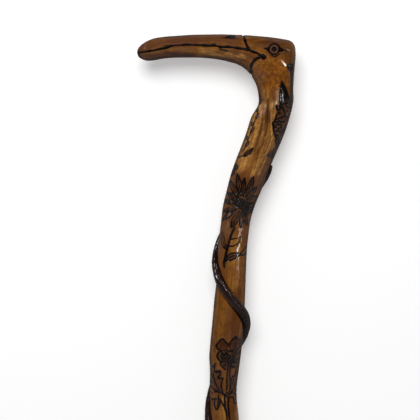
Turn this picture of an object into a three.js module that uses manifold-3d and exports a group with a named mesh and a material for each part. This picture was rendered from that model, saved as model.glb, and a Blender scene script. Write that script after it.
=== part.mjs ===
// A carved walking stick, cut from one piece of stem and root so that shaft, neck and handle are one
// wood. The handle is the head of a long-beaked bird with let-in eyes. A dark vine stem lies in a groove
// wound down the shaft, held by brads at the back, and the foot has a nailed ferrule, a steel plug and a
// push-on rubber tip. Lengths are in millimetres. +Z runs up the stick, -X is the way the beak points and
// -Y is the carved front. The origin is the middle of the rubber tip's flat underside.
import * as THREE from 'three';
import { mergeVertices } from 'three/addons/utils/BufferGeometryUtils.js';
import Module from 'manifold-3d';

const wasm = await Module();
wasm.setup();

// Wood
const stickHeight = 900;
const handleReach = 135; // beak tip to back of head
const backOffset = 71.4; // foot's axis to the back of the head
const headDrop = 70; // crown to the base of the neck
const headDepth = 45.2; // throat to the back corner of the head
const headWidth = 32;
const neckDepth = 32.7;
const neckWidth = 30;
const beakDepth = 19.2;
const beakWidth = 21;
const shaftDiameter = 25;
const footDiameter = 20;
const shaftDrift = 4; // natural bend to the front and back

// Vine
const vineDiameter = 8.8;
const vineTurns = 5.33;
const vineTopDrop = 44.5; // base of the neck to where the vine comes out of the wood
const vineFootGap = 20; // ferrule to the vine's lower end

// Ferrule, plug and tip
const ferruleLength = 46;
const ferruleFootDiameter = 17.8;
const ferruleWall = 0.9;
const plugFlange = 4;
const plugSpigot = 6;
const tipHeight = 38;
const tipFlange = 5.8; // outside its bore
const tipFlangeHeight = 9;
const tipShoulderHeight = 4;
const tipBodyWall = 3;
const tipMouthWall = 1.7;
const tipEdge = 1;
const tipFloor = 8;
const washerThickness = 1.5;

// Eyes
const eyeDiameter = 7.4;
const pupilDiameter = 3.8;
const eyeDepth = 3;
const eyeRise = 0.6;
const pupilRise = 0.3;

// Brads and nails
const bradHeadDiameter = 3.2;
const bradHeadHeight = 0.7;
const bradShankDiameter = 1.5;
const bradBite = 7; // length in the wood under the vine
const nailHeadDiameter = 3.4;
const nailHeadHeight = 0.7;
const nailShankDiameter = 1.6;
const nailLength = 7;
const nailDrop = 7; // ferrule's upper edge to the nails

// Clearances, and how far a cutter runs past what it cuts
const fitGap = 0.3;
const seatGap = 0.15;
const overrun = 5;

// Fineness of the solids
const shaftRingStep = 12.5;
const headRingsPerSlice = 1;
const woodSides = 22;
const vineSides = 8;
const vineStepsPerTurn = 24;
const turnedSides = 36;
const smallSides = 12;

// Places worked out from the sizes above
const shaftLength = stickHeight - headDrop;
const neckAcrossShare = 0.1603;
const neckOffset = backOffset - neckAcrossShare * handleReach;
const ferruleBottom = tipFloor + washerThickness + plugFlange;
const ferruleTop = ferruleBottom + ferruleLength;
const woodBottom = ferruleBottom + plugSpigot + fitGap;
const vineTop = shaftLength - vineTopDrop;
const vinePitch = (vineTop - ferruleTop - vineFootGap) / vineTurns;

// Slices of the neck, crown and beak. Across and down are shares of handleReach from the back of the head
// and of headDrop from the crown. Turn is the slice's slope in degrees. Depth and width are shares of the
// group's sizes.
const neckSliceShares = [
  [neckAcrossShare, 1, 0, 1, 1],
  [0.1281, 0.838, 1.7, 0.902, 0.97],
  [0.1259, 0.686, 3.2, 0.936, 0.97],
  [0.1281, 0.562, 13.9, 1.024, 1],
];
const crownSliceShares = [
  [0.1363, 0.44, 20.2, 0.843, 0.97],
  [0.1439, 0.354, 25.2, 0.94, 1],
  [0.1549, 0.293, 29.4, 1, 1],
  [0.1754, 0.253, 32.6, 0.989, 0.99],
  [0.2126, 0.228, 36.1, 0.896, 0.97],
  [0.2598, 0.204, 41, 0.785, 0.93],
  [0.3117, 0.185, 47.9, 0.675, 0.88],
  [0.3684, 0.171, 57.1, 0.589, 0.81],
];
const beakSliceShares = [
  [0.4298, 0.159, 67.5, 1.219, 1.16],
  [0.499, 0.149, 79.6, 1.104, 1.08],
  [0.5778, 0.145, 86.3, 1.031, 1.03],
  [0.6675, 0.143, 90, 1, 1],
  [0.7557, 0.149, 90, 0.958, 0.98],
  [0.8312, 0.16, 90, 0.953, 0.95],
  [0.8942, 0.179, 90, 0.958, 0.9],
  [0.9383, 0.198, 90, 0.849, 0.8],
  [0.9667, 0.208, 90, 0.672, 0.64],
  [0.9868, 0.214, 90, 0.458, 0.45],
  [0.9975, 0.217, 90, 0.24, 0.24],
  [1, 0.217, 90, 0.1, 0.1],
];

// Slices of the shaft from the foot up. Height is a share of shaftLength, sway of neckOffset, depth and
// width of shaftDiameter, and drift of shaftDrift.
const shaftSliceShares = [
  [0.0853, 0, 0.8, 0.8, 0.02],
  [0.1365, 0.003, 0.809, 0.81, 0.1],
  [0.2389, 0.017, 0.826, 0.83, 0.4],
  [0.3413, 0.051, 0.857, 0.86, 0.6],
  [0.4232, 0.094, 0.904, 0.9, 0.3],
  [0.5052, 0.128, 0.911, 0.92, -0.2],
  [0.5666, 0.171, 0.952, 0.95, -0.6],
  [0.6281, 0.222, 0.928, 0.93, -0.8],
  [0.669, 0.231, 0.969, 0.96, -0.75],
  [0.6947, 0.216, 0.942, 0.94, -0.7],
  [0.71, 0.199, 0.908, 0.92, -0.65],
  [0.7254, 0.192, 0.921, 0.93, -0.6],
  [0.7408, 0.209, 0.976, 0.97, -0.55],
  [0.7561, 0.221, 1.064, 1.03, -0.5],
  [0.7715, 0.246, 1.081, 1.05, -0.4],
  [0.7868, 0.272, 1.081, 1.05, -0.25],
  [0.8022, 0.292, 1.061, 1.03, -0.1],
  [0.8176, 0.309, 1.03, 1, 0.05],
  [0.8329, 0.326, 1, 0.98, 0.15],
  [0.8483, 0.336, 1, 0.98, 0.25],
  [0.8637, 0.348, 1, 0.98, 0.3],
  [0.879, 0.374, 1, 0.98, 0.3],
  [0.8944, 0.407, 1.01, 1, 0.28],
  [0.9097, 0.464, 1.098, 1.06, 0.22],
  [0.9251, 0.548, 1.183, 1.11, 0.16],
  [0.9405, 0.63, 1.231, 1.14, 0.1],
  [0.9558, 0.728, 1.268, 1.17, 0.05],
  [0.9712, 0.833, 1.292, 1.19, 0.02],
  [0.9866, 0.927, 1.309, 1.2, 0],
];
const shaftSquareness = 2.1;
const headSquareness = 2.45;
const beakSquareness = 2.3;

// The vine's thickness along its turns, as shares of vineDiameter, from its upper end down. The last three
// are counted back from the lower end.
const vineUpperShares = [
  [-0.03, 0.3],
  [0, 0.4],
  [0.06, 0.65],
  [0.15, 0.75],
  [0.5, 0.77],
  [0.7, 0.87],
  [0.85, 1],
  [1.1, 1],
  [1.5, 0.9],
];
const vineLowerShares = [
  [0.6, 0.8],
  [0.06, 0.62],
  [0, 0.3],
];
const vineStartShare = -0.03; // of a turn, before the back-of-head side
const vineLagShare = 0.085; // of the pitch, by which the back half turns drop further than the front ones
const vineEaseShare = 0.0235; // of the pitch, by which the front crossing hangs down
const vineSunkShare = 0.34; // of its diameter, let into the wood
const eyeSliceShare = 0.08; // of the way between the two crown slices that it lies between
const eyeOutShare = 0.121; // of headDepth, outwards from their middle
const crownSlicesUnderEye = 3;

const finish = (color, roughness, metalness = 0) =>
  new THREE.MeshStandardMaterial({ color, roughness, metalness });
const woodFinish = finish(0x8a5a2c, 0.35);
const vineFinish = finish(0x2a1a16, 0.35);
const hornFinish = finish(0x6b4330, 0.3);
const pupilFinish = finish(0x0c0908, 0.2);
const brassFinish = finish(0xb08d4a, 0.35, 1);
const steelFinish = finish(0x8d8f92, 0.4, 1);
const rubberFinish = finish(0x191919, 0.85);

// A closed mesh as a manifold-3d solid, and back.
function toSolid(geometry) {
  const bare = new THREE.BufferGeometry().setAttribute('position', geometry.getAttribute('position'));
  bare.setIndex(geometry.index);
  const merged = mergeVertices(bare, 1e-3);
  const corners = merged.index.array;
  const kept = [];
  for (let i = 0; i < corners.length; i += 3) {
    const [a, b, c] = corners.slice(i, i + 3);
    if (a !== b && b !== c && c !== a) kept.push(a, b, c);
  }
  return new wasm.Manifold(new wasm.Mesh({
    numProp: 3,
    vertProperties: merged.attributes.position.array,
    triVerts: new Uint32Array(kept),
  }));
}

function toGeometry(solid) {
  const mesh = solid.getMesh();
  const geometry = new THREE.BufferGeometry();
  geometry.setAttribute('position', new THREE.BufferAttribute(mesh.vertProperties, 3));
  geometry.setIndex(new THREE.BufferAttribute(mesh.triVerts, 1));
  return geometry;
}

// Skins rings with the same number of points into one solid, with a flat cap on each end.
function skin(rings) {
  const sides = rings[0].length;
  const points = rings.flat();
  const caps = [0, rings.length - 1].map((r) => {
    const middle = new THREE.Vector3();
    rings[r].forEach((p) => middle.addScaledVector(p, 1 / sides));
    return points.push(middle) - 1;
  });
  const index = [];
  const last = (rings.length - 1) * sides;
  for (let s = 0; s < sides; s++) {
    const next = (s + 1) % sides;
    for (let low = 0; low < last; low += sides) {
      index.push(low + s, low + next, low + sides + next);
      index.push(low + s, low + sides + next, low + sides + s);
    }
    index.push(caps[0], next, s);
    index.push(caps[1], last + s, last + next);
  }
  const geometry = new THREE.BufferGeometry().setFromPoints(points);
  geometry.setIndex(index);
  return geometry;
}

// A solid turned about the Z axis from [radius, height] pairs.
function turned(profile, sides) {
  const points = profile.map(([radius, height]) => new THREE.Vector2(radius, height));
  return new THREE.LatheGeometry(points, sides).rotateX(Math.PI / 2);
}

function drill(radius, length, sides) {
  return new THREE.CylinderGeometry(radius, radius, length, sides).rotateX(Math.PI / 2);
}

// Stands a piece made along +Z at a place, with +Z turned to the given direction.
function placing(place, direction) {
  const turn = new THREE.Quaternion().setFromUnitVectors(new THREE.Vector3(0, 0, 1), direction);
  return new THREE.Matrix4().compose(place, turn, new THREE.Vector3(1, 1, 1));
}

function piece(name, geometry, material, matrix = new THREE.Matrix4()) {
  const mesh = new THREE.Mesh(geometry, material);
  mesh.name = name;
  matrix.decompose(mesh.position, mesh.quaternion, mesh.scale);
  return mesh;
}

// Values of a table of [key, value] pairs, joined by straight lines.
function along(table, key) {
  const next = table.findIndex(([k]) => k >= key);
  if (next <= 0) return table[next < 0 ? table.length - 1 : 0][1];
  const [k0, v0] = table[next - 1];
  const [k1, v1] = table[next];
  return THREE.MathUtils.mapLinear(key, k0, k1, v0, v1);
}

function shaftSlices() {
  const foot = { x: 0, y: 0, z: ferruleTop, turn: 0, depth: footDiameter, width: footDiameter, power: 2 };
  const rows = shaftSliceShares.map(([height, sway, depth, width, drift]) => ({
    x: sway * neckOffset,
    y: drift * shaftDrift,
    z: height * shaftLength,
    turn: 0,
    depth: depth * shaftDiameter,
    width: width * shaftDiameter,
    power: shaftSquareness,
  }));
  return [foot, ...rows];
}

function headSlices() {
  const group = (shares, depthSize, widthSize, power) =>
    shares.map(([across, down, turn, depth, width]) => ({
      x: backOffset - across * handleReach,
      y: 0,
      z: stickHeight - down * headDrop,
      turn,
      depth: depth * depthSize,
      width: width * widthSize,
      power,
    }));
  return [
    ...group(neckSliceShares, neckDepth, neckWidth, shaftSquareness),
    ...group(crownSliceShares, headDepth, headWidth, headSquareness),
    ...group(beakSliceShares, beakDepth, beakWidth, beakSquareness),
  ];
}

// A smooth run of slices through the given ones, with extra ones between where they lie far apart.
function smoothSlices(slices, ringsIn) {
  const curve = (point) => new THREE.CatmullRomCurve3(slices.map(point), false, 'catmullrom');
  const places = curve((s) => new THREE.Vector3(s.x, s.y, s.z));
  const sizes = curve((s) => new THREE.Vector3(s.turn, s.depth, s.width));
  const made = [];
  for (let i = 0; i < slices.length - 1; i++) {
    const count = ringsIn(slices[i], slices[i + 1]);
    for (let j = 0; j < count; j++) {
      const share = j / count;
      const t = (i + share) / (slices.length - 1);
      const place = places.getPoint(t);
      const size = sizes.getPoint(t);
      const power = THREE.MathUtils.lerp(slices[i].power, slices[i + 1].power, share);
      made.push({ x: place.x, y: place.y, z: place.z, turn: size.x, depth: size.y, width: size.z, power });
    }
  }
  made.push(slices[slices.length - 1]);
  return made;
}

// The oval outline of a slice. It runs from the outer side round by the back.
function sliceRing({ x, y, z, turn, depth, width, power }) {
  const slope = THREE.MathUtils.degToRad(turn);
  const outward = new THREE.Vector3(Math.cos(slope), 0, Math.sin(slope));
  const back = new THREE.Vector3(0, 1, 0);
  const eased = (v) => Math.sign(v) * Math.abs(v) ** (2 / power);
  return Array.from({ length: woodSides }, (_, s) => {
    const angle = (2 * Math.PI * s) / woodSides;
    return new THREE.Vector3(x, y, z)
      .addScaledVector(outward, (eased(Math.cos(angle)) * depth) / 2)
      .addScaledVector(back, (eased(Math.sin(angle)) * width) / 2);
  });
}

const ferruleOuter = (z) =>
  THREE.MathUtils.mapLinear(z, ferruleBottom, ferruleTop, ferruleFootDiameter, footDiameter) / 2;
const ferruleInner = (z) => ferruleOuter(z) - ferruleWall;

const bareSlices = smoothSlices([...shaftSlices(), ...headSlices()], (low, high) =>
  (high.z > shaftLength ? headRingsPerSlice : Math.max(1, Math.round((high.z - low.z) / shaftRingStep))));

// The shaft's axis and its radius in a direction, at a height.
function shaftAt(z, angle) {
  const next = Math.max(1, bareSlices.findIndex((s) => s.z >= z));
  const [low, high] = [bareSlices[next - 1], bareSlices[next]];
  const share = (z - low.z) / (high.z - low.z);
  const mixed = (key) => THREE.MathUtils.lerp(low[key], high[key], share);
  const power = mixed('power');
  const across = Math.abs(Math.cos(angle)) / (mixed('depth') / 2);
  const through = Math.abs(Math.sin(angle)) / (mixed('width') / 2);
  const radius = (across ** power + through ** power) ** (-1 / power);
  return { axis: new THREE.Vector3(mixed('x'), mixed('y'), z), radius };
}

// The vine's line: angle 0 is the back-of-head side and a quarter turn on is the back.
function vineAt(turns) {
  const angle = 2 * Math.PI * turns;
  const lag = vineLagShare * Math.sin(angle / 2) ** 2 - vineEaseShare * Math.sin(angle);
  const z = vineTop - vinePitch * (turns + lag);
  const lower = vineLowerShares[0][0];
  const fromEnd = vineTurns - turns;
  const share = fromEnd > lower
    ? along([...vineUpperShares, [vineTurns - lower, vineLowerShares[0][1]]], turns)
    : along([...vineLowerShares].reverse(), fromEnd);
  const thickness = (share * vineDiameter) / 2;
  const { axis, radius } = shaftAt(z, angle);
  const outward = new THREE.Vector3(Math.cos(angle), Math.sin(angle), 0);
  const centre = axis.addScaledVector(outward, radius + thickness * (1 - 2 * vineSunkShare));
  return { centre, outward, thickness };
}

function vineRings(extra) {
  const steps = Math.round((vineTurns - vineStartShare) * vineStepsPerTurn);
  const stations = Array.from({ length: steps + 1 }, (_, i) =>
    vineAt(THREE.MathUtils.lerp(vineStartShare, vineTurns, i / steps)));
  return stations.map(({ centre, outward, thickness }, i) => {
    const before = stations[Math.max(0, i - 1)].centre;
    const after = stations[Math.min(steps, i + 1)].centre;
    const ahead = after.clone().sub(before).normalize();
    const proud = outward.clone().addScaledVector(ahead, -outward.dot(ahead)).normalize();
    const sideways = new THREE.Vector3().crossVectors(ahead, proud);
    const end = i === 0 ? -extra : i === steps ? extra : 0;
    return Array.from({ length: vineSides }, (_, s) => {
      const angle = (2 * Math.PI * s) / vineSides;
      return centre.clone()
        .addScaledVector(ahead, end)
        .addScaledVector(proud, (thickness + extra) * Math.cos(angle))
        .addScaledVector(sideways, (thickness + extra) * Math.sin(angle));
    });
  });
}

// Brads through the vine into the wood, one in each turn, where the vine passes the back.
const backTurnShare = 0.25;
const brads = Array.from({ length: Math.ceil(vineTurns - backTurnShare) }, (_, turn) => {
  const { centre, outward, thickness } = vineAt(turn + backTurnShare);
  const headSeat = centre.clone().addScaledVector(outward, thickness + seatGap);
  return {
    name: `vine_brad_${turn + 1}`,
    seat: placing(headSeat, outward),
    length: 2 * thickness + bradBite,
  };
});

const ferruleNails = [['ferrule_nail_front', -1], ['ferrule_nail_back', 1]].map(([name, side]) => {
  const z = ferruleTop - nailDrop;
  const outward = new THREE.Vector3(0, side, 0);
  const place = new THREE.Vector3(0, side * (ferruleOuter(z) + seatGap), z);
  return { name, seat: placing(place, outward), length: nailLength };
});

function nailGeometry(length, shankDiameter, headDiameter, headHeight) {
  const crownShare = 0.55;
  return turned([
    [0, -length],
    [shankDiameter / 2, -length],
    [shankDiameter / 2, 0],
    [headDiameter / 2, 0],
    [headDiameter / 2, headHeight / 2],
    [(headDiameter / 2) * crownShare, headHeight],
    [0, headHeight],
  ], smallSides);
}

// A straight hole for a nail, open past its head.
function nailHole({ seat, length }, shankDiameter) {
  const whole = length + fitGap + overrun;
  return drill(shankDiameter / 2 + fitGap, whole, smallSides)
    .translate(0, 0, overrun - whole / 2)
    .applyMatrix4(seat);
}

const bareWood = skin([
  ...[woodBottom, ferruleTop].map((z) => {
    const diameter = 2 * (ferruleInner(z) - fitGap);
    return sliceRing({ x: 0, y: 0, z, turn: 0, depth: diameter, width: diameter, power: 2 });
  }),
  ...bareSlices.map(sliceRing),
]);

// The bird's left eye looks to the front, -Y. Each eye is seated where its axis meets the side of the head.
const eyes = [['left', -1], ['right', 1]].map(([name, side]) => {
  const [before, after] = headSlices().slice(neckSliceShares.length + crownSlicesUnderEye);
  const between = (key) => THREE.MathUtils.lerp(before[key], after[key], eyeSliceShare);
  const slope = THREE.MathUtils.degToRad(between('turn'));
  const x = between('x') + eyeOutShare * headDepth * Math.cos(slope);
  const z = between('z') + eyeOutShare * headDepth * Math.sin(slope);
  const outward = new THREE.Vector3(0, side, 0);
  const ray = new THREE.Raycaster(new THREE.Vector3(x, side * headWidth, z), outward.clone().negate());
  const [hit] = ray.intersectObject(new THREE.Mesh(bareWood));
  return { name, seat: placing(hit.point, outward) };
});

function stickGeometry() {
  const cutters = [
    skin(vineRings(fitGap)),
    ...brads.map((brad) => nailHole(brad, bradShankDiameter)),
    ...ferruleNails.map((nail) => nailHole(nail, nailShankDiameter)),
    ...eyes.map(({ seat }) => {
      const length = eyeDepth + fitGap + overrun;
      return drill(eyeDiameter / 2 + fitGap, length, turnedSides)
        .translate(0, 0, overrun - length / 2)
        .applyMatrix4(seat);
    }),
  ];
  return toGeometry(cutters.reduce((wood, cutter) => wood.subtract(toSolid(cutter)), toSolid(bareWood)));
}

function vineGeometry() {
  const holes = brads.map((brad) => toSolid(nailHole(brad, bradShankDiameter)));
  return toGeometry(holes.reduce((vine, hole) => vine.subtract(hole), toSolid(skin(vineRings(0)))));
}

function eyeRingGeometry() {
  const outer = eyeDiameter / 2;
  const inner = pupilDiameter / 2 + fitGap;
  const middle = (outer + inner) / 2;
  return turned([
    [inner, -eyeDepth],
    [outer, -eyeDepth],
    [outer, 0],
    [middle, eyeRise],
    [inner, 0],
    [inner, -eyeDepth],
  ], turnedSides);
}

function pupilGeometry() {
  const radius = pupilDiameter / 2;
  return turned([
    [0, -eyeDepth],
    [radius, -eyeDepth],
    [radius, 0],
    [radius / 2, pupilRise],
    [0, pupilRise],
  ], smallSides);
}

function ferruleGeometry() {
  const tube = turned([
    [ferruleInner(ferruleBottom), ferruleBottom],
    [ferruleOuter(ferruleBottom), ferruleBottom],
    [ferruleOuter(ferruleTop), ferruleTop],
    [ferruleInner(ferruleTop), ferruleTop],
    [ferruleInner(ferruleBottom), ferruleBottom],
  ], turnedSides);
  return toGeometry(ferruleNails.reduce(
    (wall, nail) => wall.subtract(toSolid(nailHole(nail, nailShankDiameter))), toSolid(tube)));
}

function plugGeometry() {
  const spigot = (z) => ferruleInner(z) - fitGap;
  const low = ferruleBottom - plugFlange;
  const high = ferruleBottom + plugSpigot;
  return turned([
    [0, low],
    [ferruleFootDiameter / 2, low],
    [ferruleFootDiameter / 2, ferruleBottom],
    [spigot(ferruleBottom), ferruleBottom],
    [spigot(high), high],
    [0, high],
  ], turnedSides);
}

const boreAt = (z) => ferruleOuter(Math.max(z, ferruleBottom)) + fitGap;

function washerGeometry() {
  const radius = boreAt(tipFloor) - fitGap;
  return turned([
    [0, tipFloor],
    [radius, tipFloor],
    [radius, tipFloor + washerThickness],
    [0, tipFloor + washerThickness],
  ], turnedSides);
}

function tipGeometry() {
  const bore = boreAt(tipFloor);
  return turned([
    [0, 0],
    [bore + tipFlange - tipEdge, 0],
    [bore + tipFlange, tipEdge],
    [bore + tipFlange, tipFlangeHeight],
    [bore + tipBodyWall, tipFlangeHeight + tipShoulderHeight],
    [boreAt(tipHeight) + tipMouthWall, tipHeight],
    [boreAt(tipHeight), tipHeight],
    [boreAt(ferruleBottom), ferruleBottom],
    [bore, tipFloor],
    [0, tipFloor],
  ], turnedSides);
}

const walkingStick = new THREE.Group();
walkingStick.add(
  piece('stick', stickGeometry(), woodFinish),
  piece('vine', vineGeometry(), vineFinish),
  piece('ferrule', ferruleGeometry(), brassFinish),
  piece('ferrule_plug', plugGeometry(), steelFinish),
  piece('tip_washer', washerGeometry(), steelFinish),
  piece('rubber_tip', tipGeometry(), rubberFinish),
);
for (const { name, seat } of eyes) {
  walkingStick.add(piece(`${name}_eye_ring`, eyeRingGeometry(), hornFinish, seat));
  walkingStick.add(piece(`${name}_eye_pupil`, pupilGeometry(), pupilFinish, seat));
}
for (const { name, seat, length } of brads) {
  const brad = nailGeometry(length, bradShankDiameter, bradHeadDiameter, bradHeadHeight);
  walkingStick.add(piece(name, brad, steelFinish, seat));
}
for (const { name, seat, length } of ferruleNails) {
  const nail = nailGeometry(length, nailShankDiameter, nailHeadDiameter, nailHeadHeight);
  walkingStick.add(piece(name, nail, brassFinish, seat));
}

export default walkingStick;
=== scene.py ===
"""A carved and varnished walking stick with a long-beaked bird's head for a handle.

The wood is one piece. It is made from a plain tube, wrapped round oval slices that run from the foot through
the neck and head to the beak's tip, and then cut: a groove for the vine, the beak's and face's lines, and
burned flowers, leaves and stems. Every mark is drawn on a flat sheet that is laid on the wood.
"""

import math

import bmesh
import bpy
import numpy as np
from mathutils import Matrix, Vector, kdtree


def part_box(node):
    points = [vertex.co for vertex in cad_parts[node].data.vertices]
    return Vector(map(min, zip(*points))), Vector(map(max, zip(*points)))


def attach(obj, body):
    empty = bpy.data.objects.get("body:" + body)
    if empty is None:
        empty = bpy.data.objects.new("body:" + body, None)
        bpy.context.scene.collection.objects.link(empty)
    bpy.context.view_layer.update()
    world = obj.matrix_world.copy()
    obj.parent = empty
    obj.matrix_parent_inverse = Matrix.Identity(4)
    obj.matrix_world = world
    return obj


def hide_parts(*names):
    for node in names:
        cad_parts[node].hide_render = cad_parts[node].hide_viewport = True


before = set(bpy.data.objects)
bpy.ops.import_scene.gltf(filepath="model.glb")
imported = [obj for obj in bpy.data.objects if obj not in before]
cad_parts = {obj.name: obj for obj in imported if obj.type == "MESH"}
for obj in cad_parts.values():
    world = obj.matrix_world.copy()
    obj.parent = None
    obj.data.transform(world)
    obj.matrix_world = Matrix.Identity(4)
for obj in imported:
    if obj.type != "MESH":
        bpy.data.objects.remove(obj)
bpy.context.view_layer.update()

MM = 0.001

# The wood's sizes
STICK_HEIGHT = 900 * MM
HANDLE_REACH = 135 * MM
BACK_OFFSET = 71.4 * MM
HEAD_DROP = 70 * MM
HEAD_DEPTH = 45.2 * MM
HEAD_WIDTH = 32 * MM
NECK_DEPTH = 32.7 * MM
NECK_WIDTH = 30 * MM
BEAK_DEPTH = 19.2 * MM
BEAK_WIDTH = 21 * MM
SHAFT_DIAMETER = 25 * MM
SHAFT_DRIFT = 4 * MM
KNIFE_FACET = 0.16 * MM
FACETS_FADE = 6 * MM
SHADE_SCRAPE = 0.12 * MM
PETAL_SCRAPE = 0.1 * MM
SPIGOT_STEP = 1.2 * MM
SPIGOT_FOOT_RADIUS = 7.6 * MM
SHAFT_LENGTH = STICK_HEIGHT - HEAD_DROP
NECK_ACROSS_SHARE = 0.1603
NECK_OFFSET = BACK_OFFSET - NECK_ACROSS_SHARE * HANDLE_REACH

# What the frame gives: the wood's shoulder on the ferrule, and the ferrule's sizes
ferrule_low, ferrule_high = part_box("ferrule")
FERRULE_TOP = ferrule_high.z
FOOT_DIAMETER = ferrule_high.x - ferrule_low.x
WOOD_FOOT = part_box("stick")[0].z

# The vine
VINE_DIAMETER = 8.8 * MM
VINE_TURNS = 5.33
VINE_TOP = SHAFT_LENGTH - 44.5 * MM
VINE_PITCH = (VINE_TOP - FERRULE_TOP - 20 * MM) / VINE_TURNS
VINE_START_SHARE = -0.03
VINE_LAG_SHARE = 0.085
VINE_EASE_SHARE = 0.0235
VINE_SUNK_SHARE = 0.34
VINE_SEAM = 0.12 * MM
VINE_SAMPLES = 2400

# How thick the vine is, as shares of its diameter: at turns counted from its top, and back from its lower end
VINE_UPPER_SHARES = (
    (-0.03, 0.3), (0, 0.4), (0.06, 0.65), (0.15, 0.75), (0.5, 0.77), (0.7, 0.87), (0.85, 1), (1.1, 1),
    (1.5, 0.9))
VINE_LOWER_SHARES = ((0.6, 0.8), (0.06, 0.62), (0, 0.3))

# The photograph: the size of a pixel on the stick, and the pixels of the foot's axis and the crown
PIXEL = 0.85 * MM
PHOTO_PIXELS = 420
PHOTO_AXIS = 212
PHOTO_CROWN = 34.5

# The camera, square on to the stick, which sees what the photograph does
CAMERA_LENS = 100
SENSOR = 36
CAMERA_DISTANCE = PHOTO_PIXELS * PIXEL * CAMERA_LENS / SENSOR
CAMERA_MIDDLE = np.array([
    (PHOTO_PIXELS / 2 - PHOTO_AXIS) * PIXEL,
    STICK_HEIGHT - (PHOTO_PIXELS / 2 - PHOTO_CROWN) * PIXEL,
])

# How fine the wood's mesh is
WOOD_SIDES = 48
WOOD_RING_STEP = 1.75 * MM
FINE_STATIONS = 6000
NEAR_MARK = 0.9 * MM
NEAR_FINE_MARK = 0.4 * MM
NEAR_GROOVE = 0.6 * MM

# Marks: how far from a line the wood is looked at, how deep a line is burned, how far past its half width a
# line or a hollow still cuts, how wide a ledge's step is and how near to it the mesh is fine, how soft a
# tone's edge is, the points of a ring, a distance past every mark, and a length and an area that are as good
# as nothing
MARK_REACH = 3 * MM
LINE_DEPTH = 0.35 * MM
LINE_SPREAD = 1.3
HOLLOW_SPREAD = 1.4
LEDGE_STEP = 3.2 * MM
NEAR_LEDGE = 1.3 * MM
SOFT_EDGE = 0.5 * MM
RING_POINTS = 25
FAR_AWAY = 1.0
NO_LENGTH = MM * MM
NO_AREA = MM * MM * MM

# How near to the wood's rim the photograph is still followed, as a share of the way out to it
RIM_SHARE = 0.985

# How far a copy of a motif may reach up and down, and round the shaft in radians
COPY_REACH = 70 * MM
COPY_ANGLE = 2.4

# Slices, as in the part's own construction
NECK_SLICE_SHARES = (
    (NECK_ACROSS_SHARE, 1, 0, 1, 1),
    (0.1281, 0.838, 1.7, 0.902, 0.97),
    (0.1259, 0.686, 3.2, 0.936, 0.97),
    (0.1281, 0.562, 13.9, 1.024, 1),
)
CROWN_SLICE_SHARES = (
    (0.1363, 0.44, 20.2, 0.843, 0.97),
    (0.1439, 0.354, 25.2, 0.94, 1),
    (0.1549, 0.293, 29.4, 1, 1),
    (0.1754, 0.253, 32.6, 0.989, 0.99),
    (0.2126, 0.228, 36.1, 0.896, 0.97),
    (0.2598, 0.204, 41, 0.785, 0.93),
    (0.3117, 0.185, 47.9, 0.675, 0.88),
    (0.3684, 0.171, 57.1, 0.589, 0.81),
)
BEAK_SLICE_SHARES = (
    (0.4298, 0.159, 67.5, 1.219, 1.16),
    (0.499, 0.149, 79.6, 1.104, 1.08),
    (0.5778, 0.145, 86.3, 1.031, 1.03),
    (0.6675, 0.143, 90, 1, 1),
    (0.7557, 0.149, 90, 0.958, 0.98),
    (0.8312, 0.16, 90, 0.953, 0.95),
    (0.8942, 0.179, 90, 0.958, 0.9),
    (0.9383, 0.198, 90, 0.849, 0.8),
    (0.9667, 0.208, 90, 0.672, 0.64),
    (0.9868, 0.214, 90, 0.458, 0.45),
    (0.9975, 0.217, 90, 0.24, 0.24),
    (1, 0.217, 90, 0.1, 0.1),
)
SHAFT_SLICE_SHARES = (
    (0.0853, 0, 0.8, 0.8, 0.02),
    (0.1365, 0.003, 0.809, 0.81, 0.1),
    (0.2389, 0.017, 0.826, 0.83, 0.4),
    (0.3413, 0.051, 0.857, 0.86, 0.6),
    (0.4232, 0.094, 0.904, 0.9, 0.3),
    (0.5052, 0.128, 0.911, 0.92, -0.2),
    (0.5666, 0.171, 0.952, 0.95, -0.6),
    (0.6281, 0.222, 0.928, 0.93, -0.8),
    (0.669, 0.231, 0.969, 0.96, -0.75),
    (0.6947, 0.216, 0.942, 0.94, -0.7),
    (0.71, 0.199, 0.908, 0.92, -0.65),
    (0.7254, 0.192, 0.921, 0.93, -0.6),
    (0.7408, 0.209, 0.976, 0.97, -0.55),
    (0.7561, 0.221, 1.064, 1.03, -0.5),
    (0.7715, 0.246, 1.081, 1.05, -0.4),
    (0.7868, 0.272, 1.081, 1.05, -0.25),
    (0.8022, 0.292, 1.061, 1.03, -0.1),
    (0.8176, 0.309, 1.03, 1, 0.05),
    (0.8329, 0.326, 1, 0.98, 0.15),
    (0.8483, 0.336, 1, 0.98, 0.25),
    (0.8637, 0.348, 1, 0.98, 0.3),
    (0.879, 0.374, 1, 0.98, 0.3),
    (0.8944, 0.407, 1.01, 1, 0.28),
    (0.9097, 0.464, 1.098, 1.06, 0.22),
    (0.9251, 0.548, 1.183, 1.11, 0.16),
    (0.9405, 0.63, 1.231, 1.14, 0.1),
    (0.9558, 0.728, 1.268, 1.17, 0.05),
    (0.9712, 0.833, 1.292, 1.19, 0.02),
    (0.9866, 0.927, 1.309, 1.2, 0),
)
SHAFT_SQUARENESS = 2.1
HEAD_SQUARENESS = 2.45
BEAK_SQUARENESS = 2.3


def through(rows, stations):
    """Rows of values at places between the given rows, on a smooth run through them."""
    rows = np.asarray(rows, float)
    first = np.clip(np.floor(stations).astype(int), 0, len(rows) - 2)
    share = (stations - first)[:, None]
    before = rows[np.maximum(first - 1, 0)]
    start, end = rows[first], rows[first + 1]
    after = rows[np.minimum(first + 2, len(rows) - 1)]
    rise = 2 * before - 5 * start + 4 * end - after
    bend = 3 * (start - end) + after - before
    return start + 0.5 * share * ((end - before) + share * (rise + share * bend))


# The wood's form


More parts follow.
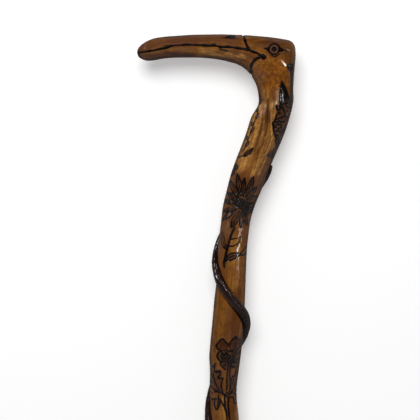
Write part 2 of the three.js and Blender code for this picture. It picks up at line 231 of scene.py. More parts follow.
def stick_slices():
    """Every slice from the ferrule to the beak's tip: x, y, z, slope in degrees, depth, width, squareness."""
    rows = [(0, 0, FERRULE_TOP, 0, FOOT_DIAMETER, FOOT_DIAMETER, 2)]
    for height, sway, depth, width, drift in SHAFT_SLICE_SHARES:
        place = (sway * NECK_OFFSET, drift * SHAFT_DRIFT, height * SHAFT_LENGTH)
        rows.append((*place, 0, depth * SHAFT_DIAMETER, width * SHAFT_DIAMETER, SHAFT_SQUARENESS))
    groups = (
        (NECK_SLICE_SHARES, NECK_DEPTH, NECK_WIDTH, SHAFT_SQUARENESS),
        (CROWN_SLICE_SHARES, HEAD_DEPTH, HEAD_WIDTH, HEAD_SQUARENESS),
        (BEAK_SLICE_SHARES, BEAK_DEPTH, BEAK_WIDTH, BEAK_SQUARENESS),
    )
    for shares, full_depth, full_width, squareness in groups:
        for across, down, slope, depth, width in shares:
            place = (BACK_OFFSET - across * HANDLE_REACH, 0, STICK_HEIGHT - down * HEAD_DROP)
            rows.append((*place, slope, depth * full_depth, width * full_width, squareness))
    return np.array(rows)


SLICES = stick_slices()
SHAFT_TOP_STATION = len(SHAFT_SLICE_SHARES) + 1
NECK_TOP_STATION = SHAFT_TOP_STATION + len(NECK_SLICE_SHARES)


class Ovals:
    """The wood's ovals at the given stations."""

    def __init__(self, stations):
        form = through(SLICES, stations)
        slope = np.radians(form[:, 3])
        self.centre = form[:, :3]
        self.outward = np.stack([np.cos(slope), np.zeros_like(slope), np.sin(slope)], axis=1)
        self.depth, self.width, self.squareness = form[:, 4], form[:, 5], form[:, 6]
        self.reach = (self.depth + self.width) / 4

    def rim(self, angles):
        """Offsets outward and to the back of the rim, at angles that run from outward round by the back."""
        def eased(value):
            return np.sign(value) * np.abs(value) ** (2 / self.squareness)

        return eased(np.cos(angles)) * self.depth / 2, eased(np.sin(angles)) * self.width / 2

    def at(self, outward, back):
        place = self.centre + self.outward * outward[:, None]
        place[:, 1] += back
        return place


fine_stations = np.linspace(0, len(SLICES) - 1, FINE_STATIONS)
fine_ovals = Ovals(fine_stations)
fine_steps = np.linalg.norm(np.diff(fine_ovals.centre, axis=0), axis=1)
fine_height = FERRULE_TOP + np.concatenate([[0], np.cumsum(fine_steps)])


def ring_stations():
    """Stations that keep the tube's rings evenly apart on whichever side of the wood is longer."""
    travel = np.zeros(FINE_STATIONS - 1)
    for side in (-0.5, 0.5):
        edge = fine_ovals.at(side * fine_ovals.depth, np.zeros(FINE_STATIONS))
        travel = np.maximum(travel, np.linalg.norm(np.diff(edge, axis=0), axis=1))
    run = np.concatenate([[0], np.cumsum(travel)])
    rings = round(run[-1] / WOOD_RING_STEP)
    return np.interp(np.linspace(0, run[-1], rings + 1), run, fine_stations)


def station_at_height(z):
    shaft = fine_stations <= SHAFT_TOP_STATION
    return np.interp(z, fine_ovals.centre[shaft, 2], fine_stations[shaft])


class Places:
    """Where points of the wood's surface lie, on the wood and on the sheets that marks are drawn on."""

    def __init__(self, angles, stations):
        ovals = Ovals(stations)
        outward, back = ovals.rim(angles)
        self.stations = stations
        self.surface = ovals.at(outward, back)
        self.inward = ovals.centre - self.surface
        self.inward /= np.maximum(np.linalg.norm(self.inward, axis=1), NO_LENGTH)[:, None]
        self.facing = np.arctan2(outward, -back)
        self.reach = ovals.reach
        self.height = np.interp(stations, fine_stations, fine_height)

    def grain(self):
        """The place in the straightened stem, where the grain runs along Z."""
        return np.stack([self.reach * np.cos(self.facing), self.reach * np.sin(self.facing), self.height],
                        axis=1)


# The vine's line


def vine_path(turns):
    """Centres, outward directions and radii of the vine after the given turns."""
    angle = 2 * math.pi * turns
    lag = VINE_LAG_SHARE * np.sin(angle / 2) ** 2 - VINE_EASE_SHARE * np.sin(angle)
    height = VINE_TOP - VINE_PITCH * (turns + lag)
    lower = [(VINE_TURNS - turn, share) for turn, share in VINE_LOWER_SHARES]
    keys, shares = zip(*VINE_UPPER_SHARES, *lower)
    radius = np.interp(turns, keys, shares) * VINE_DIAMETER / 2
    ovals = Ovals(station_at_height(height))
    across = np.abs(np.cos(angle)) / (ovals.depth / 2)
    through_wood = np.abs(np.sin(angle)) / (ovals.width / 2)
    rim = (across ** ovals.squareness + through_wood ** ovals.squareness) ** (-1 / ovals.squareness)
    outward = np.stack([np.cos(angle), np.sin(angle), np.zeros_like(angle)], axis=1)
    centre = ovals.centre + outward * (rim + radius * (1 - 2 * VINE_SUNK_SHARE))[:, None]
    return centre, outward, radius


def unit(vectors):
    return vectors / np.linalg.norm(vectors, axis=1)[:, None]


vine_turns = np.linspace(VINE_START_SHARE, VINE_TURNS, VINE_SAMPLES)
vine_centres, vine_outward, vine_radii = vine_path(vine_turns)
vine_ahead = unit(np.gradient(vine_centres, axis=0))
vine_tree = kdtree.KDTree(VINE_SAMPLES)
for index, centre in enumerate(vine_centres):
    vine_tree.insert(centre, index)
vine_tree.balance()


def vine_groove(places):
    """How far each place is from the groove's wall, and how deep the groove cuts there."""
    found = np.array([vine_tree.find(point)[1] for point in places.surface])
    away = places.surface - vine_centres[found]
    away -= vine_ahead[found] * np.sum(away * vine_ahead[found], axis=1)[:, None]
    wall = vine_radii[found] + VINE_SEAM
    gap = np.linalg.norm(away, axis=1) - wall
    drop = np.sum(away * places.inward, axis=1)
    under = drop ** 2 - np.sum(away ** 2, axis=1) + wall ** 2
    depth = np.where(gap < 0, -drop + np.sqrt(np.maximum(under, 0)), 0)
    beyond_end = (found == 0) | (found == VINE_SAMPLES - 1)
    return np.where(beyond_end & (gap > 0), FAR_AWAY, gap), depth


# Drawing on the wood


def smooth_path(points, steps=5):
    points = np.asarray(points, float)
    if len(points) < 3:
        return points
    return through(points, np.linspace(0, len(points) - 1, (len(points) - 1) * steps + 1))


def to_segment(place, start, end):
    """How far places are from a segment, and at which share of its run each is nearest."""
    run = end - start
    share = np.clip((place - start) @ run / max(run @ run, NO_AREA), 0, 1)
    return np.linalg.norm(place - start - share[:, None] * run, axis=1), share


class Sheet:
    """A flat sheet laid on the wood. What is drawn in the photograph's pixels lands in the wood's marks."""

    def __init__(self, marks, flat, kept, lay, fine=True):
        self.marks = marks
        self.fine = fine
        self.index = np.nonzero(kept)[0]
        self.flat = flat[self.index]
        self.lay = lay

    def under(self, flat, margin):
        low, high = flat.min(axis=0) - margin, flat.max(axis=0) + margin
        return np.nonzero(((self.flat > low) & (self.flat < high)).all(axis=1))[0]

    def near_path(self, points, margin, curved=True):
        """The wood's points near a path, how far each is from its middle, and the path's half width there."""
        path = smooth_path(points) if curved else np.asarray(points, float)
        flat, halves = self.lay(path[:, :2]), path[:, 2] * PIXEL
        near = self.under(flat, margin)
        place = self.flat[near]
        away, width = np.full(len(near), FAR_AWAY), np.full(len(near), halves[0])
        for start, end, half, next_half in zip(flat, flat[1:], halves, halves[1:]):
            distance, share = to_segment(place, start, end)
            here = half + share * (next_half - half)
            nearer = distance - here < away - width
            away, width = np.where(nearer, distance, away), np.where(nearer, here, width)
        return self.index[near], away, width

    def raise_mark(self, name, target, values):
        self.marks[name][target] = np.maximum(self.marks[name][target], values)

    def narrow_gap(self, name, target, values):
        self.marks[name][target] = np.minimum(self.marks[name][target], values)

    def line(self, points, depth=LINE_DEPTH, curved=True):
        """A burned and cut line. Each point is x, y and the line's half width there, in pixels."""
        target, away, width = self.near_path(points, MARK_REACH, curved)
        self.narrow_gap("burn_gap", target, away - width)
        if self.fine:
            self.narrow_gap("fine_gap", target, away - width)
        self.raise_mark("cut", target, depth * (1 - away / (LINE_SPREAD * width)))

    def hollow(self, points, depth, stain):
        """An unburned groove with rounded sides. Each point is x, y and half its width there, in pixels."""
        target, away, width = self.near_path(points, MARK_REACH)
        groove = np.clip(1 - (away / (HOLLOW_SPREAD * width)) ** 2, 0, 1) ** 1.5
        self.raise_mark("cut", target, depth * groove)
        self.raise_mark("stain", target, stain * groove)
        if self.fine:
            self.narrow_gap("fine_gap", target, away - width)

    def ledge(self, points, depth, reach):
        """Sinks the wood to the left of a path, most at the path and no more at reach pixels from it."""
        flat = self.lay(smooth_path(points))
        near = self.under(flat, reach * PIXEL)
        place = self.flat[near]
        away = np.full(len(near), FAR_AWAY)
        side = np.zeros(len(near))
        for start, end in zip(flat, flat[1:]):
            distance = to_segment(place, start, end)[0]
            run, offset = end - start, place - start
            turn = run[0] * offset[:, 1] - run[1] * offset[:, 0]
            side = np.where(distance < away, np.sign(turn), side)
            away = np.minimum(away, distance)
        step = np.clip(0.5 + side * away / LEDGE_STEP, 0, 1)
        sunk = depth * step * np.clip(1 - away / (reach * PIXEL), 0, 1)
        target = self.index[near]
        self.raise_mark("sunk", target, sunk)
        self.narrow_gap("fine_gap", target, away - NEAR_LEDGE)

    def fill(self, outline, **strengths):
        """A tone inside an outline, named by the mark that it goes into."""
        flat = self.lay(np.asarray(outline, float)[:, :2])
        near = self.under(flat, SOFT_EDGE)
        place = self.flat[near]
        inside = np.zeros(len(near), bool)
        edge = np.full(len(near), FAR_AWAY)
        for start, end in zip(flat, np.roll(flat, -1, axis=0)):
            edge = np.minimum(edge, to_segment(place, start, end)[0])
            run = end - start
            if abs(run[1]) > NO_LENGTH:
                crosses = (start[1] > place[:, 1]) != (end[1] > place[:, 1])
                crossing = start[0] + run[0] * (place[:, 1] - start[1]) / run[1]
                inside ^= crosses & (place[:, 0] < crossing)
        signed = np.where(inside, -edge, edge)
        cover = np.clip(0.5 - signed / SOFT_EDGE, 0, 1)
        for mark, strength in strengths.items():
            self.raise_mark(mark, self.index[near], strength * cover)

    def tint(self, points, **strengths):
        """A tone that fades out from a path. Each point is x, y and the tone's reach there, in pixels."""
        widest = max(reach for _, _, reach in points) * PIXEL
        target, away, reach = self.near_path(points, widest)
        cover = np.clip(1 - (away / reach) ** 2, 0, 1) ** 1.5
        for mark, strength in strengths.items():
            self.raise_mark(mark, target, strength * cover)

    def ring(self, centre, radius, half, depth=LINE_DEPTH, start=0, end=360):
        """A burned arc, with angles counted from the right by the top."""
        angles = np.radians(np.linspace(start, end, RING_POINTS))
        x = centre[0] + radius * np.cos(angles)
        y = centre[1] - radius * np.sin(angles)
        self.line(np.stack([x, y, np.full(len(x), half)], axis=1), depth, curved=False)

    def dot(self, centre, radius, depth=0.5 * MM):
        x, y = centre
        self.line([(x - 0.05, y, radius), (x + 0.05, y, radius)], depth, curved=False)


def as_seen(flat, nearness):
    """Where the camera sees places that are nearer to it than the stick's middle plane, on that plane."""
    return CAMERA_MIDDLE + (flat - CAMERA_MIDDLE) / (1 - np.asarray(nearness)[..., None] / CAMERA_DISTANCE)


def photo_to_side(points):
    """Pixels to places on the stick's middle plane."""
    x = (points[:, 0] - PHOTO_AXIS) * PIXEL
    z = STICK_HEIGHT - (points[:, 1] - PHOTO_CROWN) * PIXEL
    return np.stack([x, z], axis=1)


def photo_to_front(points):
    """Pixels to places on the sheet that is laid round the shaft and neck, with its middle at the front."""
    upright = fine_stations < NECK_TOP_STATION + 1
    centres = fine_ovals.centre[upright][:, [0, 2]]
    outward = fine_ovals.outward[upright][:, [0, 2]]
    ahead = np.stack([-outward[:, 1], outward[:, 0]], axis=1)
    laid = []
    for seen in photo_to_side(points):
        front = 0
        # Three rounds settle how far in front of the middle plane the place lies
        for _ in range(3):
            place = CAMERA_MIDDLE + (seen - CAMERA_MIDDLE) * (1 - front / CAMERA_DISTANCE)
            offset = place - centres
            row = np.argmin(np.abs(np.sum(offset * ahead, axis=1)))
            depth, width = fine_ovals.depth[row] / 2, fine_ovals.width[row] / 2
            share = np.clip(offset[row] @ outward[row] / depth, -RIM_SHARE, RIM_SHARE)
            front = width * (1 - abs(share) ** fine_ovals.squareness[row]) ** (1 / fine_ovals.squareness[row])
        laid.append((fine_ovals.reach[row] * math.atan2(share * depth, front), fine_height[row]))
    return np.array(laid)


def head_sheet(marks, places):
    """Both sides of the head at once: the right side mirrors the left."""
    flat = as_seen(places.surface[:, [0, 2]], np.abs(places.surface[:, 1]))
    return Sheet(marks, flat, places.stations > SHAFT_TOP_STATION - 1, photo_to_side)


def front_sheet(marks, places):
    flat = np.stack([places.reach * places.facing, places.height], axis=1)
    return Sheet(marks, flat, places.stations < NECK_TOP_STATION + 1, photo_to_front)


def copy_sheet(marks, places, origin, height, facing, size, turn, mirrored):
    """A sheet that puts marks drawn about the pixel origin at another height and side of the shaft."""
    around = (places.facing - math.radians(facing) + math.pi) % (2 * math.pi) - math.pi
    flat = np.stack([places.reach * around, places.height], axis=1)
    angle = math.radians(turn)

    def lay(points):
        across = (points[:, 0] - origin[0]) * PIXEL * size * (-1 if mirrored else 1)
        up = (origin[1] - points[:, 1]) * PIXEL * size
        return np.stack([
            across * math.cos(angle) - up * math.sin(angle),
            height + across * math.sin(angle) + up * math.cos(angle),
        ], axis=1)

    kept = (np.abs(places.height - height) < COPY_REACH) & (np.abs(around) < COPY_ANGLE)
    return Sheet(marks, flat, kept, lay, fine=False)


# Motifs, each drawn about the pixels where the photograph shows it

# A leaf: its points from base to tip, the one where its dark tip begins, how many of them its rib follows,
# and the rib's depth and its thickness as a share of the outline's. A stroke: its unevenness, and the share
# of its width that is left at its end
LEAF_POINTS = 11
DARK_TIP_FROM = 6
RIB_POINTS = 9
RIB_DEPTH = 0.2 * MM
RIB_SHARE = 0.6
STROKE_UNEVENNESS = 0.16
STROKE_END_SHARE = 0.55


def leaf(sheet, base, tip, width, shade=0.6, bend=0.0, edge=0.42, rib=True, fullest=0.85, dark_tip=0.0,
         taper=(1.05, 0.55)):
    """A pointed leaf or petal from base to tip, bent to its left by bend pixels."""
    base, tip = np.array(base, float), np.array(tip, float)
    run = tip - base
    side = np.array([run[1], -run[0]]) / np.linalg.norm(run)
    share = np.linspace(0, 1, LEAF_POINTS)[:, None]
    middle = base + run * share + side * bend * 4 * share * (1 - share)
    half = side * (width / 2) * np.sin(np.pi * share ** fullest) ** 0.85
    left, right = middle + half, middle - half
    sheet.fill(np.concatenate([left, right[::-1]]), shade=shade)
    if dark_tip:
        sheet.fill(np.concatenate([left[DARK_TIP_FROM:], right[:DARK_TIP_FROM - 1:-1]]), shade=dark_tip)
    thickness = edge * (taper[0] + (taper[1] - taper[0]) * share)
    for outline in (left, right):
        sheet.line(np.concatenate([outline, thickness], axis=1), curved=False)
    if rib:
        vein = np.concatenate([middle, RIB_SHARE * thickness], axis=1)[:RIB_POINTS]
        sheet.line(vein, RIB_DEPTH, curved=False)


def stroke(sheet, points, half=0.5, depth=LINE_DEPTH):
    """A line through the given pixels, a little uneven in width and thinner at its end."""
    points = np.asarray(points, float)
    halves = half * (1 + STROKE_UNEVENNESS * np.sin(2.3 * points[:, 0] + 1.7 * points[:, 1]))
    halves[-1] *= STROKE_END_SHARE
    sheet.line(np.column_stack([points, halves]), depth)


def strokes(sheet, half, *paths):
    for path in paths:
        stroke(sheet, path, half)


def thin_hollows(sheet, half, depth, stain, *paths):
    for path in paths:
        sheet.hollow([(x, y, half) for x, y in path], depth, stain)


def dots(sheet, radius, *spots):
    for spot in spots:
        sheet.dot(spot, radius)


DAISY_CENTRE = (242.6, 204.6)

# Each petal's tip, its width, how dark its middle and its tip are
DAISY_PETALS = (
    ((237.3, 174.2), 4.8, 0.2, 0.5), ((244.5, 178), 4.2, 0.6, 1), ((253.4, 176.8), 5, 0.5, 1),
    ((257.2, 186.6), 4.4, 0.3, 1), ((257.3, 196.4), 5.4, 0.1, 0.3), ((256, 204.8), 3.8, 0.15, 0.3),
    ((253.4, 212.6), 4.6, 0.6, 0.7), ((247.4, 224.8), 4.2, 0.3, 0.6), ((240.8, 227.2), 4, 0.4, 0.95),
    ((231.2, 227.4), 5.8, 0.45, 0.9), ((222, 220.4), 4.4, 0.2, 0.9), ((223.2, 211.4), 4.6, 0.5, 1),
    ((224.2, 201), 4.4, 0.45, 0.7), ((227.4, 192.4), 4.6, 0.35, 0.6), ((230, 180.4), 4.6, 0.2, 0.35),
)
DAISY_EYE = (7.6, 4.9)
DAISY_EYE_TILT = math.radians(40)


def draw_daisy(sheet):
    """A daisy with long pointed petals round a dark, hatched eye that leans to the lower right."""
    centre = np.array(DAISY_CENTRE)
    sheet.tint([(x, y, 15) for x, y in (centre - (1, 0), centre + (1, 0))], shade=0.75)
    for row, (tip, width, shade, dark_tip) in enumerate(DAISY_PETALS):
        out = np.array(tip) - centre
        side = np.array([out[1], -out[0]]) / np.linalg.norm(out)
        leaf(sheet, centre + 0.27 * out, tip, width, shade, bend=0.5 * math.sin(2.4 * row), edge=0.6,
             fullest=1.1, dark_tip=dark_tip, taper=(0.45, 1.1))
        stroke(sheet, [centre + 0.5 * out + 0.18 * width * side, centre + 0.74 * out], half=0.22)
    along = np.array([math.cos(DAISY_EYE_TILT), math.sin(DAISY_EYE_TILT)])
    across = np.array([-along[1], along[0]])
    angles = np.linspace(0, 2 * np.pi, 18, endpoint=False)
    rim = DAISY_EYE[0] * np.cos(angles)[:, None] * along + DAISY_EYE[1] * np.sin(angles)[:, None] * across
    sheet.fill(centre + rim, shade=0.85)
    for share, count in ((0.22, 4), (0.56, 9), (0.88, 15)):
        for turn in range(count):
            angle = 2 * math.pi * (turn + share) / count
            right = share * DAISY_EYE[0] * math.cos(angle) * along
            up = share * DAISY_EYE[1] * math.sin(angle) * across
            sheet.ring(centre + (right + up), 0.8, 0.32, depth=0.3 * MM)
    for turn in range(9):
        start = centre + (2.5 + 0.9 * turn, 8.4 - 0.75 * turn)
        stroke(sheet, [start, start + (1.2 + 0.1 * turn, 3.6 - 0.2 * turn)], half=0.34)
    sheet.ring(centre - (6, 1.2), 1.8, 0.55)


def draw_daisy_stem(sheet):
    stroke(sheet, [(234.5, 228), (232, 233), (230, 239), (228, 246), (226.5, 252), (225, 258), (224, 263),
                   (224.3, 267.5)], half=1.05, depth=0.5 * MM)
    leaf(sheet, (226, 249.5), (222.2, 231), 4.2, shade=0.3, bend=1.3, edge=0.5)
    stroke(sheet, [(230, 239), (233.5, 238.8), (237.5, 238)])
    stroke(sheet, [(229, 246), (233, 246), (236.5, 244.6), (239.5, 241.5), (240.8, 237)], half=0.6)
    sheet.dot((240.2, 236.6), 0.9)
    leaf(sheet, (225, 260.5), (240.5, 254.4), 6.2, shade=0.8, bend=1.2, edge=0.8)
    stroke(sheet, [(239.5, 254.5), (243, 250.5), (245.5, 247.5), (247.4, 243.8)], half=0.65)
    stroke(sheet, [(239.5, 254.6), (243.5, 255), (246.3, 252.2), (247.2, 248)], half=0.65)


POPPY_HEART = (228.6, 356.4)


def draw_poppy(sheet):
    """A poppy: two dark, scalloped upper petals, creased lower ones, and a double stem."""
    left = [
        (228.2, 345.2), (226.6, 342.6), (225.2, 341.4), (224, 339.5), (222.6, 338.5), (221.4, 339.3),
        (220, 339.8), (218.8, 341.4), (217.4, 343), (216.4, 345), (216.8, 347), (218, 349), (219.6, 350),
        (222.4, 350.4), (225, 349.8), (228, 350.4)]
    right = [(229, 344.8), (230.2, 341.8), (231.6, 340.6), (232.6, 338.6), (234, 337.7), (235.6, 336.5),
             (237, 337.4), (238, 339.2), (239.8, 339), (241, 341), (241.2, 344.4), (240, 347), (237.6, 348.8),
             (235, 350), (232, 349.6), (229.4, 350.2)]
    for petal, edge in ((left, left[:13]), (right, right[:11])):
        sheet.fill(petal, petal=1.0)
        stroke(sheet, edge, half=0.68)
        stroke(sheet, petal[len(edge) - 1:], half=0.4)
    sheet.line([(218.6, 341.6, 0.9), (217.2, 343.4, 0.8), (216.4, 345.2, 1.2), (216.9, 347.2, 0.8),
                (218.4, 349.2, 0.9)])
    dots(
        sheet, 0.95, (220.2, 339.9), (222.7, 338.7), (225.2, 341.4), (232.5, 338.8), (239.6, 339),
        (241, 341.4))
    sheet.fill([(235.6, 336.4), (237.4, 337.6), (238.2, 339.4), (236.6, 340), (234.8, 338.6)], ink=0.85)
    sheet.fill([(228, 342.6), (229.6, 342.6), (230.4, 346), (228.8, 347.6), (227.4, 345.6)], ink=0.75)
    lower = [(219.8, 350.6), (218.2, 352.4), (217.2, 354.6), (217.4, 357), (218.6, 359.2), (220.4, 360.8),
             (220.4, 363), (221.4, 365.4), (223.6, 367.4), (226, 369.6), (228, 368), (236, 368), (239, 362),
             (240.4, 356), (241.4, 349)]
    sheet.fill(lower, shade=0.62)
    sheet.line([(219.8, 350.8, 0.8), (218.2, 352.4, 1.1), (217.2, 354.6, 1.0), (217.4, 357, 1.1),
                (218.6, 359.2, 0.8), (220.4, 360.8, 0.6)])
    strokes(
        sheet, 0.6, [(220.6, 361), (220.4, 363.2), (221.4, 365.5), (223.6, 367.4), (225.8, 369.5)],
        [(220.8, 351), (222.4, 353), (224.4, 354.8)],
        [(221.2, 356.4), (222.2, 358.4), (224, 359), (226.2, 358)],
        [(221.8, 361.6), (224, 361.2), (226, 362.6)], [(226.4, 361), (225.4, 363.4), (226, 366)],
        [(227.8, 350.6), (226.8, 352.6), (227.6, 354.6)], [(232.8, 358), (232, 360.4), (232.4, 363)],
        [(234.2, 360.8), (236.2, 362.4), (238.8, 361.6)], [(240.4, 346.6), (238, 348.6), (235.8, 351.6)],
        [(241.4, 350), (239.6, 351.6), (237, 354.6)], [(240.6, 355), (238.6, 358), (236.4, 359.4)],
        [(231.2, 365.4), (233.4, 366.6), (236, 366.2)], [(230.4, 351), (232.4, 350.8), (234.6, 352.6)],
        [(238.8, 362), (238.2, 365), (236.8, 367.6)], [(220.4, 355), (222.6, 354.2), (225, 355.4)])
    for turn in range(17):
        angle = math.radians(128 + 16.5 * turn)
        way = np.array([1.05 * math.cos(angle), -math.sin(angle)])
        reach = 8.2 + 1.8 * math.sin(3.1 * turn)
        stroke(sheet, [POPPY_HEART + 3.6 * way, POPPY_HEART + reach * way], half=0.34)
    for patch, strength in (
        ([(221.6, 355.6), (224, 355), (225, 357), (222.6, 358)], 1.0),
        ([(221.4, 363.6), (224.8, 363.8), (225.6, 366.8), (222.8, 366.6)], 0.95),
        ([(226, 352), (228.4, 352), (228.6, 354.6), (226.6, 354.8)], 1.0),
        ([(231, 351.6), (232.8, 352), (232.2, 353.8), (230.8, 353.4)], 1.0),
        ([(235.4, 351.8), (237.4, 351.4), (237.6, 354.4), (235.8, 355.4)], 1.0),
        ([(231.6, 358), (233.8, 357.6), (234.4, 361), (232, 361.4)], 1.0),
        ([(228.4, 357.6), (236, 358.4), (237, 363), (234, 367), (229.4, 368)], 0.75),
    ):
        sheet.fill(patch, shade=strength, ink=max(0, 3 * strength - 2.3))
    sheet.ring(POPPY_HEART, 1.7, 0.75)
    dots(sheet, 0.85, (236.4, 361.2), (229.4, 350.6), (230.4, 356.2), (228, 360))
    sheet.fill([(228, 359), (230.8, 360), (230.2, 373), (229.2, 386), (227, 386), (227.2, 372)], shade=0.6)
    sheet.fill([(227.6, 364), (230.8, 363.6), (230.4, 371), (228, 371.6)], ink=0.45)
    sheet.fill([(226.4, 383), (228.2, 382.4), (228.4, 389), (226.6, 389.4)], ink=0.55)
    strokes(
        sheet, 0.66, [(228.3, 359.4), (228, 366), (227.6, 370.4), (226.9, 376), (226.8, 384), (226.4, 390.4)],
        [(230.8, 361), (230.3, 368), (229.8, 375.4), (230.4, 380), (230.2, 385), (229.6, 390.4)])
    strokes(sheet, 0.8, [(224.4, 394), (225, 402), (225.6, 408), (226.5, 413), (227.2, 421)],
            [(228.4, 397.4), (228.2, 405), (228.8, 412), (229.6, 421)])


def draw_poppy_leaves(sheet):
    """Toothed leaves beside the poppy's stem, the knot that they grow from, and the lower ones below it."""
    toothed = [
        (215.6, 363), (214.8, 366), (214.4, 370.6), (216.4, 371.4), (218.4, 370.8), (220.2, 370.6),
        (220.7, 373.4), (219.4, 375), (218, 377.4), (221, 377.6), (223, 377.8), (222, 380.6), (221.2, 384),
        (221.8, 388), (222.7, 391), (222.6, 393.4), (218, 392), (210.4, 387), (209.6, 376), (210.4, 368),
        (212.4, 366.2)]
    sheet.fill(toothed, shade=0.58)
    sheet.line([(x, y, 0.62) for x, y in toothed[:16]], curved=False)
    sheet.line([(214.6, 371, 0.8), (216.8, 371.2, 1.2), (219.2, 371, 1.0)])
    sheet.line([(219.8, 374.6, 0.8), (218.6, 376.4, 1.4), (219.4, 377.8, 1.0)])
    sheet.line([(215, 363.4, 0.6), (214.2, 365.6, 1.3), (212.4, 366.2, 0.8)])
    strokes(
        sheet, 0.6, [(213.2, 373.4), (214.4, 380), (216.6, 385), (218.8, 389.4)],
        [(210, 379.6), (212.8, 382.6)], [(210.2, 385), (213.4, 388.4), (216.6, 390), (219, 391.2)],
        [(210.4, 369.6), (211.4, 374), (212.8, 377.6)], [(211, 391), (212.4, 393.4)],
        [(214, 391.4), (216.8, 391), (219, 392)])
    right = [
        (236.6, 366.8), (235.4, 371), (234.8, 375), (233.4, 375.7), (232, 376.4), (231, 379.6), (230.6, 384),
        (229.8, 389.4), (228.8, 392), (232, 391), (235.4, 386), (237.4, 379), (238, 371)]
    sheet.fill(right, shade=0.58)
    stroke(sheet, right[:9], half=0.55)
    sheet.fill([(235.8, 370.6), (236.4, 373), (235.6, 376.4), (234, 376), (234.4, 372.6)], ink=0.85)
    strokes(
        sheet, 0.5, [(235.4, 382), (234, 387.6), (231.8, 390.8), (229.8, 393)],
        [(233.8, 378.4), (232.6, 384)], [(237, 384), (236, 388.4), (233.6, 391)])
    sheet.fill([(209.8, 351), (211.6, 354), (213, 360), (212.4, 367), (209.6, 369)], shade=0.5)
    sheet.fill([(217.6, 388.6), (220.4, 388.8), (223, 390.6), (222.8, 394), (220.6, 393.4), (218, 392.2)],
               shade=1.0, ink=0.45)
    sheet.fill([(225.4, 391.4), (228.6, 390.8), (229.8, 394.6), (228.6, 398), (226, 397), (224.6, 394)],
               shade=1.0, ink=0.45)
    strokes(sheet, 0.72, [(218.6, 394.6), (218.4, 399), (218.2, 403), (217.2, 406)],
            [(211.2, 399), (213.8, 398.4), (216.8, 398.1)], [(222, 393), (224, 394), (224.6, 398)],
            [(220, 398.8), (221.6, 401.8), (223.4, 404.6), (225, 407.8), (226.4, 412)],
            [(229.8, 393.4), (232, 392), (234.4, 393), (236.4, 395), (236.8, 400)],
            [(230.2, 396.4), (232.6, 396.7), (233.6, 399), (234, 402), (236.6, 403)])
    stroke(sheet, [(214.9, 398.8), (214.4, 403), (215.4, 406.8), (216.5, 409), (218.2, 407), (219.6, 403.4),
                   (220.2, 398.4)], half=0.75)
    dots(sheet, 0.9, (212.2, 392.6), (233.2, 396.6), (220.6, 399.6), (234.2, 401.6))


def draw_foliage(sheet):
    """The blackened leaves and scrolls on the side of the neck."""
    ground = [
        (276.4, 106), (281, 92), (283, 86), (289, 100), (293, 106), (291, 117), (285, 134), (279, 150),
        (273, 158), (269, 157), (268, 153), (273, 150), (275.8, 143), (276.4, 139), (273.8, 133), (273, 125),
        (276.4, 118)]
    sheet.fill(ground, shade=0.5)
    great = [(282.2, 81.8), (284, 86), (286, 90), (287.8, 94.6), (289, 99.6), (290.4, 104), (286, 104.6),
             (282, 105.6), (280.2, 104), (279.8, 100), (280.1, 95), (280.6, 91), (281.4, 86)]
    sheet.fill(great, shade=1.0, ink=0.4)
    strokes(sheet, 0.9, great[:6], [great[0], *great[:7:-1]])
    strokes(
        sheet, 0.75, [(282.5, 84), (282.7, 90), (282, 95), (282.2, 100), (281.6, 104)],
        [(283.4, 87), (284.8, 92), (285.1, 96), (284.4, 99.6)], [(286.2, 91), (286.8, 96), (286.2, 100.4)])
    for y in (87, 90, 93, 96, 99, 102):
        stroke(sheet, [(281.2, y), (279.2, y - 0.9)], half=0.38)
    strokes(sheet, 0.95, [(280.2, 105.4), (283, 103.8), (286, 103.2), (289.6, 104.2)],
            [(289.6, 98.6), (290.6, 102), (291.2, 106.4)])
    strokes(sheet, 0.85, [(276.4, 105.4), (276.7, 108), (278.3, 110.2), (280.3, 109), (279.8, 106)],
            [(282.4, 106.4), (283.6, 109.4), (284.8, 112.4), (284.9, 115)],
            [(276.6, 115.4), (276, 117.6), (274.6, 120.2), (273.2, 122.8), (273.4, 126.4), (273.8, 130),
             (274.5, 133), (275.4, 136), (277, 139), (278, 141.4)],
            [(274.6, 120.2), (277, 119.2), (280, 117.8), (283, 116.9), (285.6, 115.8)],
            [(273.2, 122.8), (276, 122), (279, 121), (281.6, 121.8), (284, 121.2), (287.2, 118.8)])
    strokes(
        sheet, 0.68, [(275.4, 125.2), (277.4, 124), (280, 124.2), (282.2, 125.4)],
        [(286.6, 119), (288.2, 115.6), (289.4, 112.2)], [(286, 105.6), (287.6, 107.4), (290.4, 106.8)],
        [(276, 131), (279, 130.6), (281, 133), (281.7, 135.6)],
        [(276.4, 134.4), (278.2, 136), (279.5, 138.8)], [(281.4, 128.4), (282.6, 132), (283.4, 133.8)],
        [(285.8, 123.6), (285, 127), (285.4, 130)], [(275.2, 140), (275.9, 143), (277.2, 146.6)],
        [(279.4, 139.4), (279, 143), (277.5, 147.6)], [(277.4, 139.6), (278.4, 142.4), (278.2, 145)],
        [(275.2, 148), (273.4, 151.4), (273.6, 155)])
    dots(sheet, 1.9, (278.7, 113.1))
    dots(sheet, 1.3, (287.5, 110.8), (283.7, 121.5), (281, 127))
    dots(
        sheet, 1.0, (275.6, 127), (278.6, 128.5), (273.3, 122.8), (286.2, 117.2), (290.2, 108.4),
        (278, 121.6))
    sheet.ring((283.7, 130.6), 1.2, 0.5)
    sheet.fill([(266.2, 155), (268.4, 153), (271, 151.6), (272.8, 151.6), (274.6, 155.6), (273.6, 158.2),
                (270, 157.7), (268, 157.4)], shade=1.0, ink=0.35)
    sheet.fill([(266.4, 154.8), (268.4, 153.4), (270.4, 155), (269.8, 157.4), (268, 157)], ink=0.95)


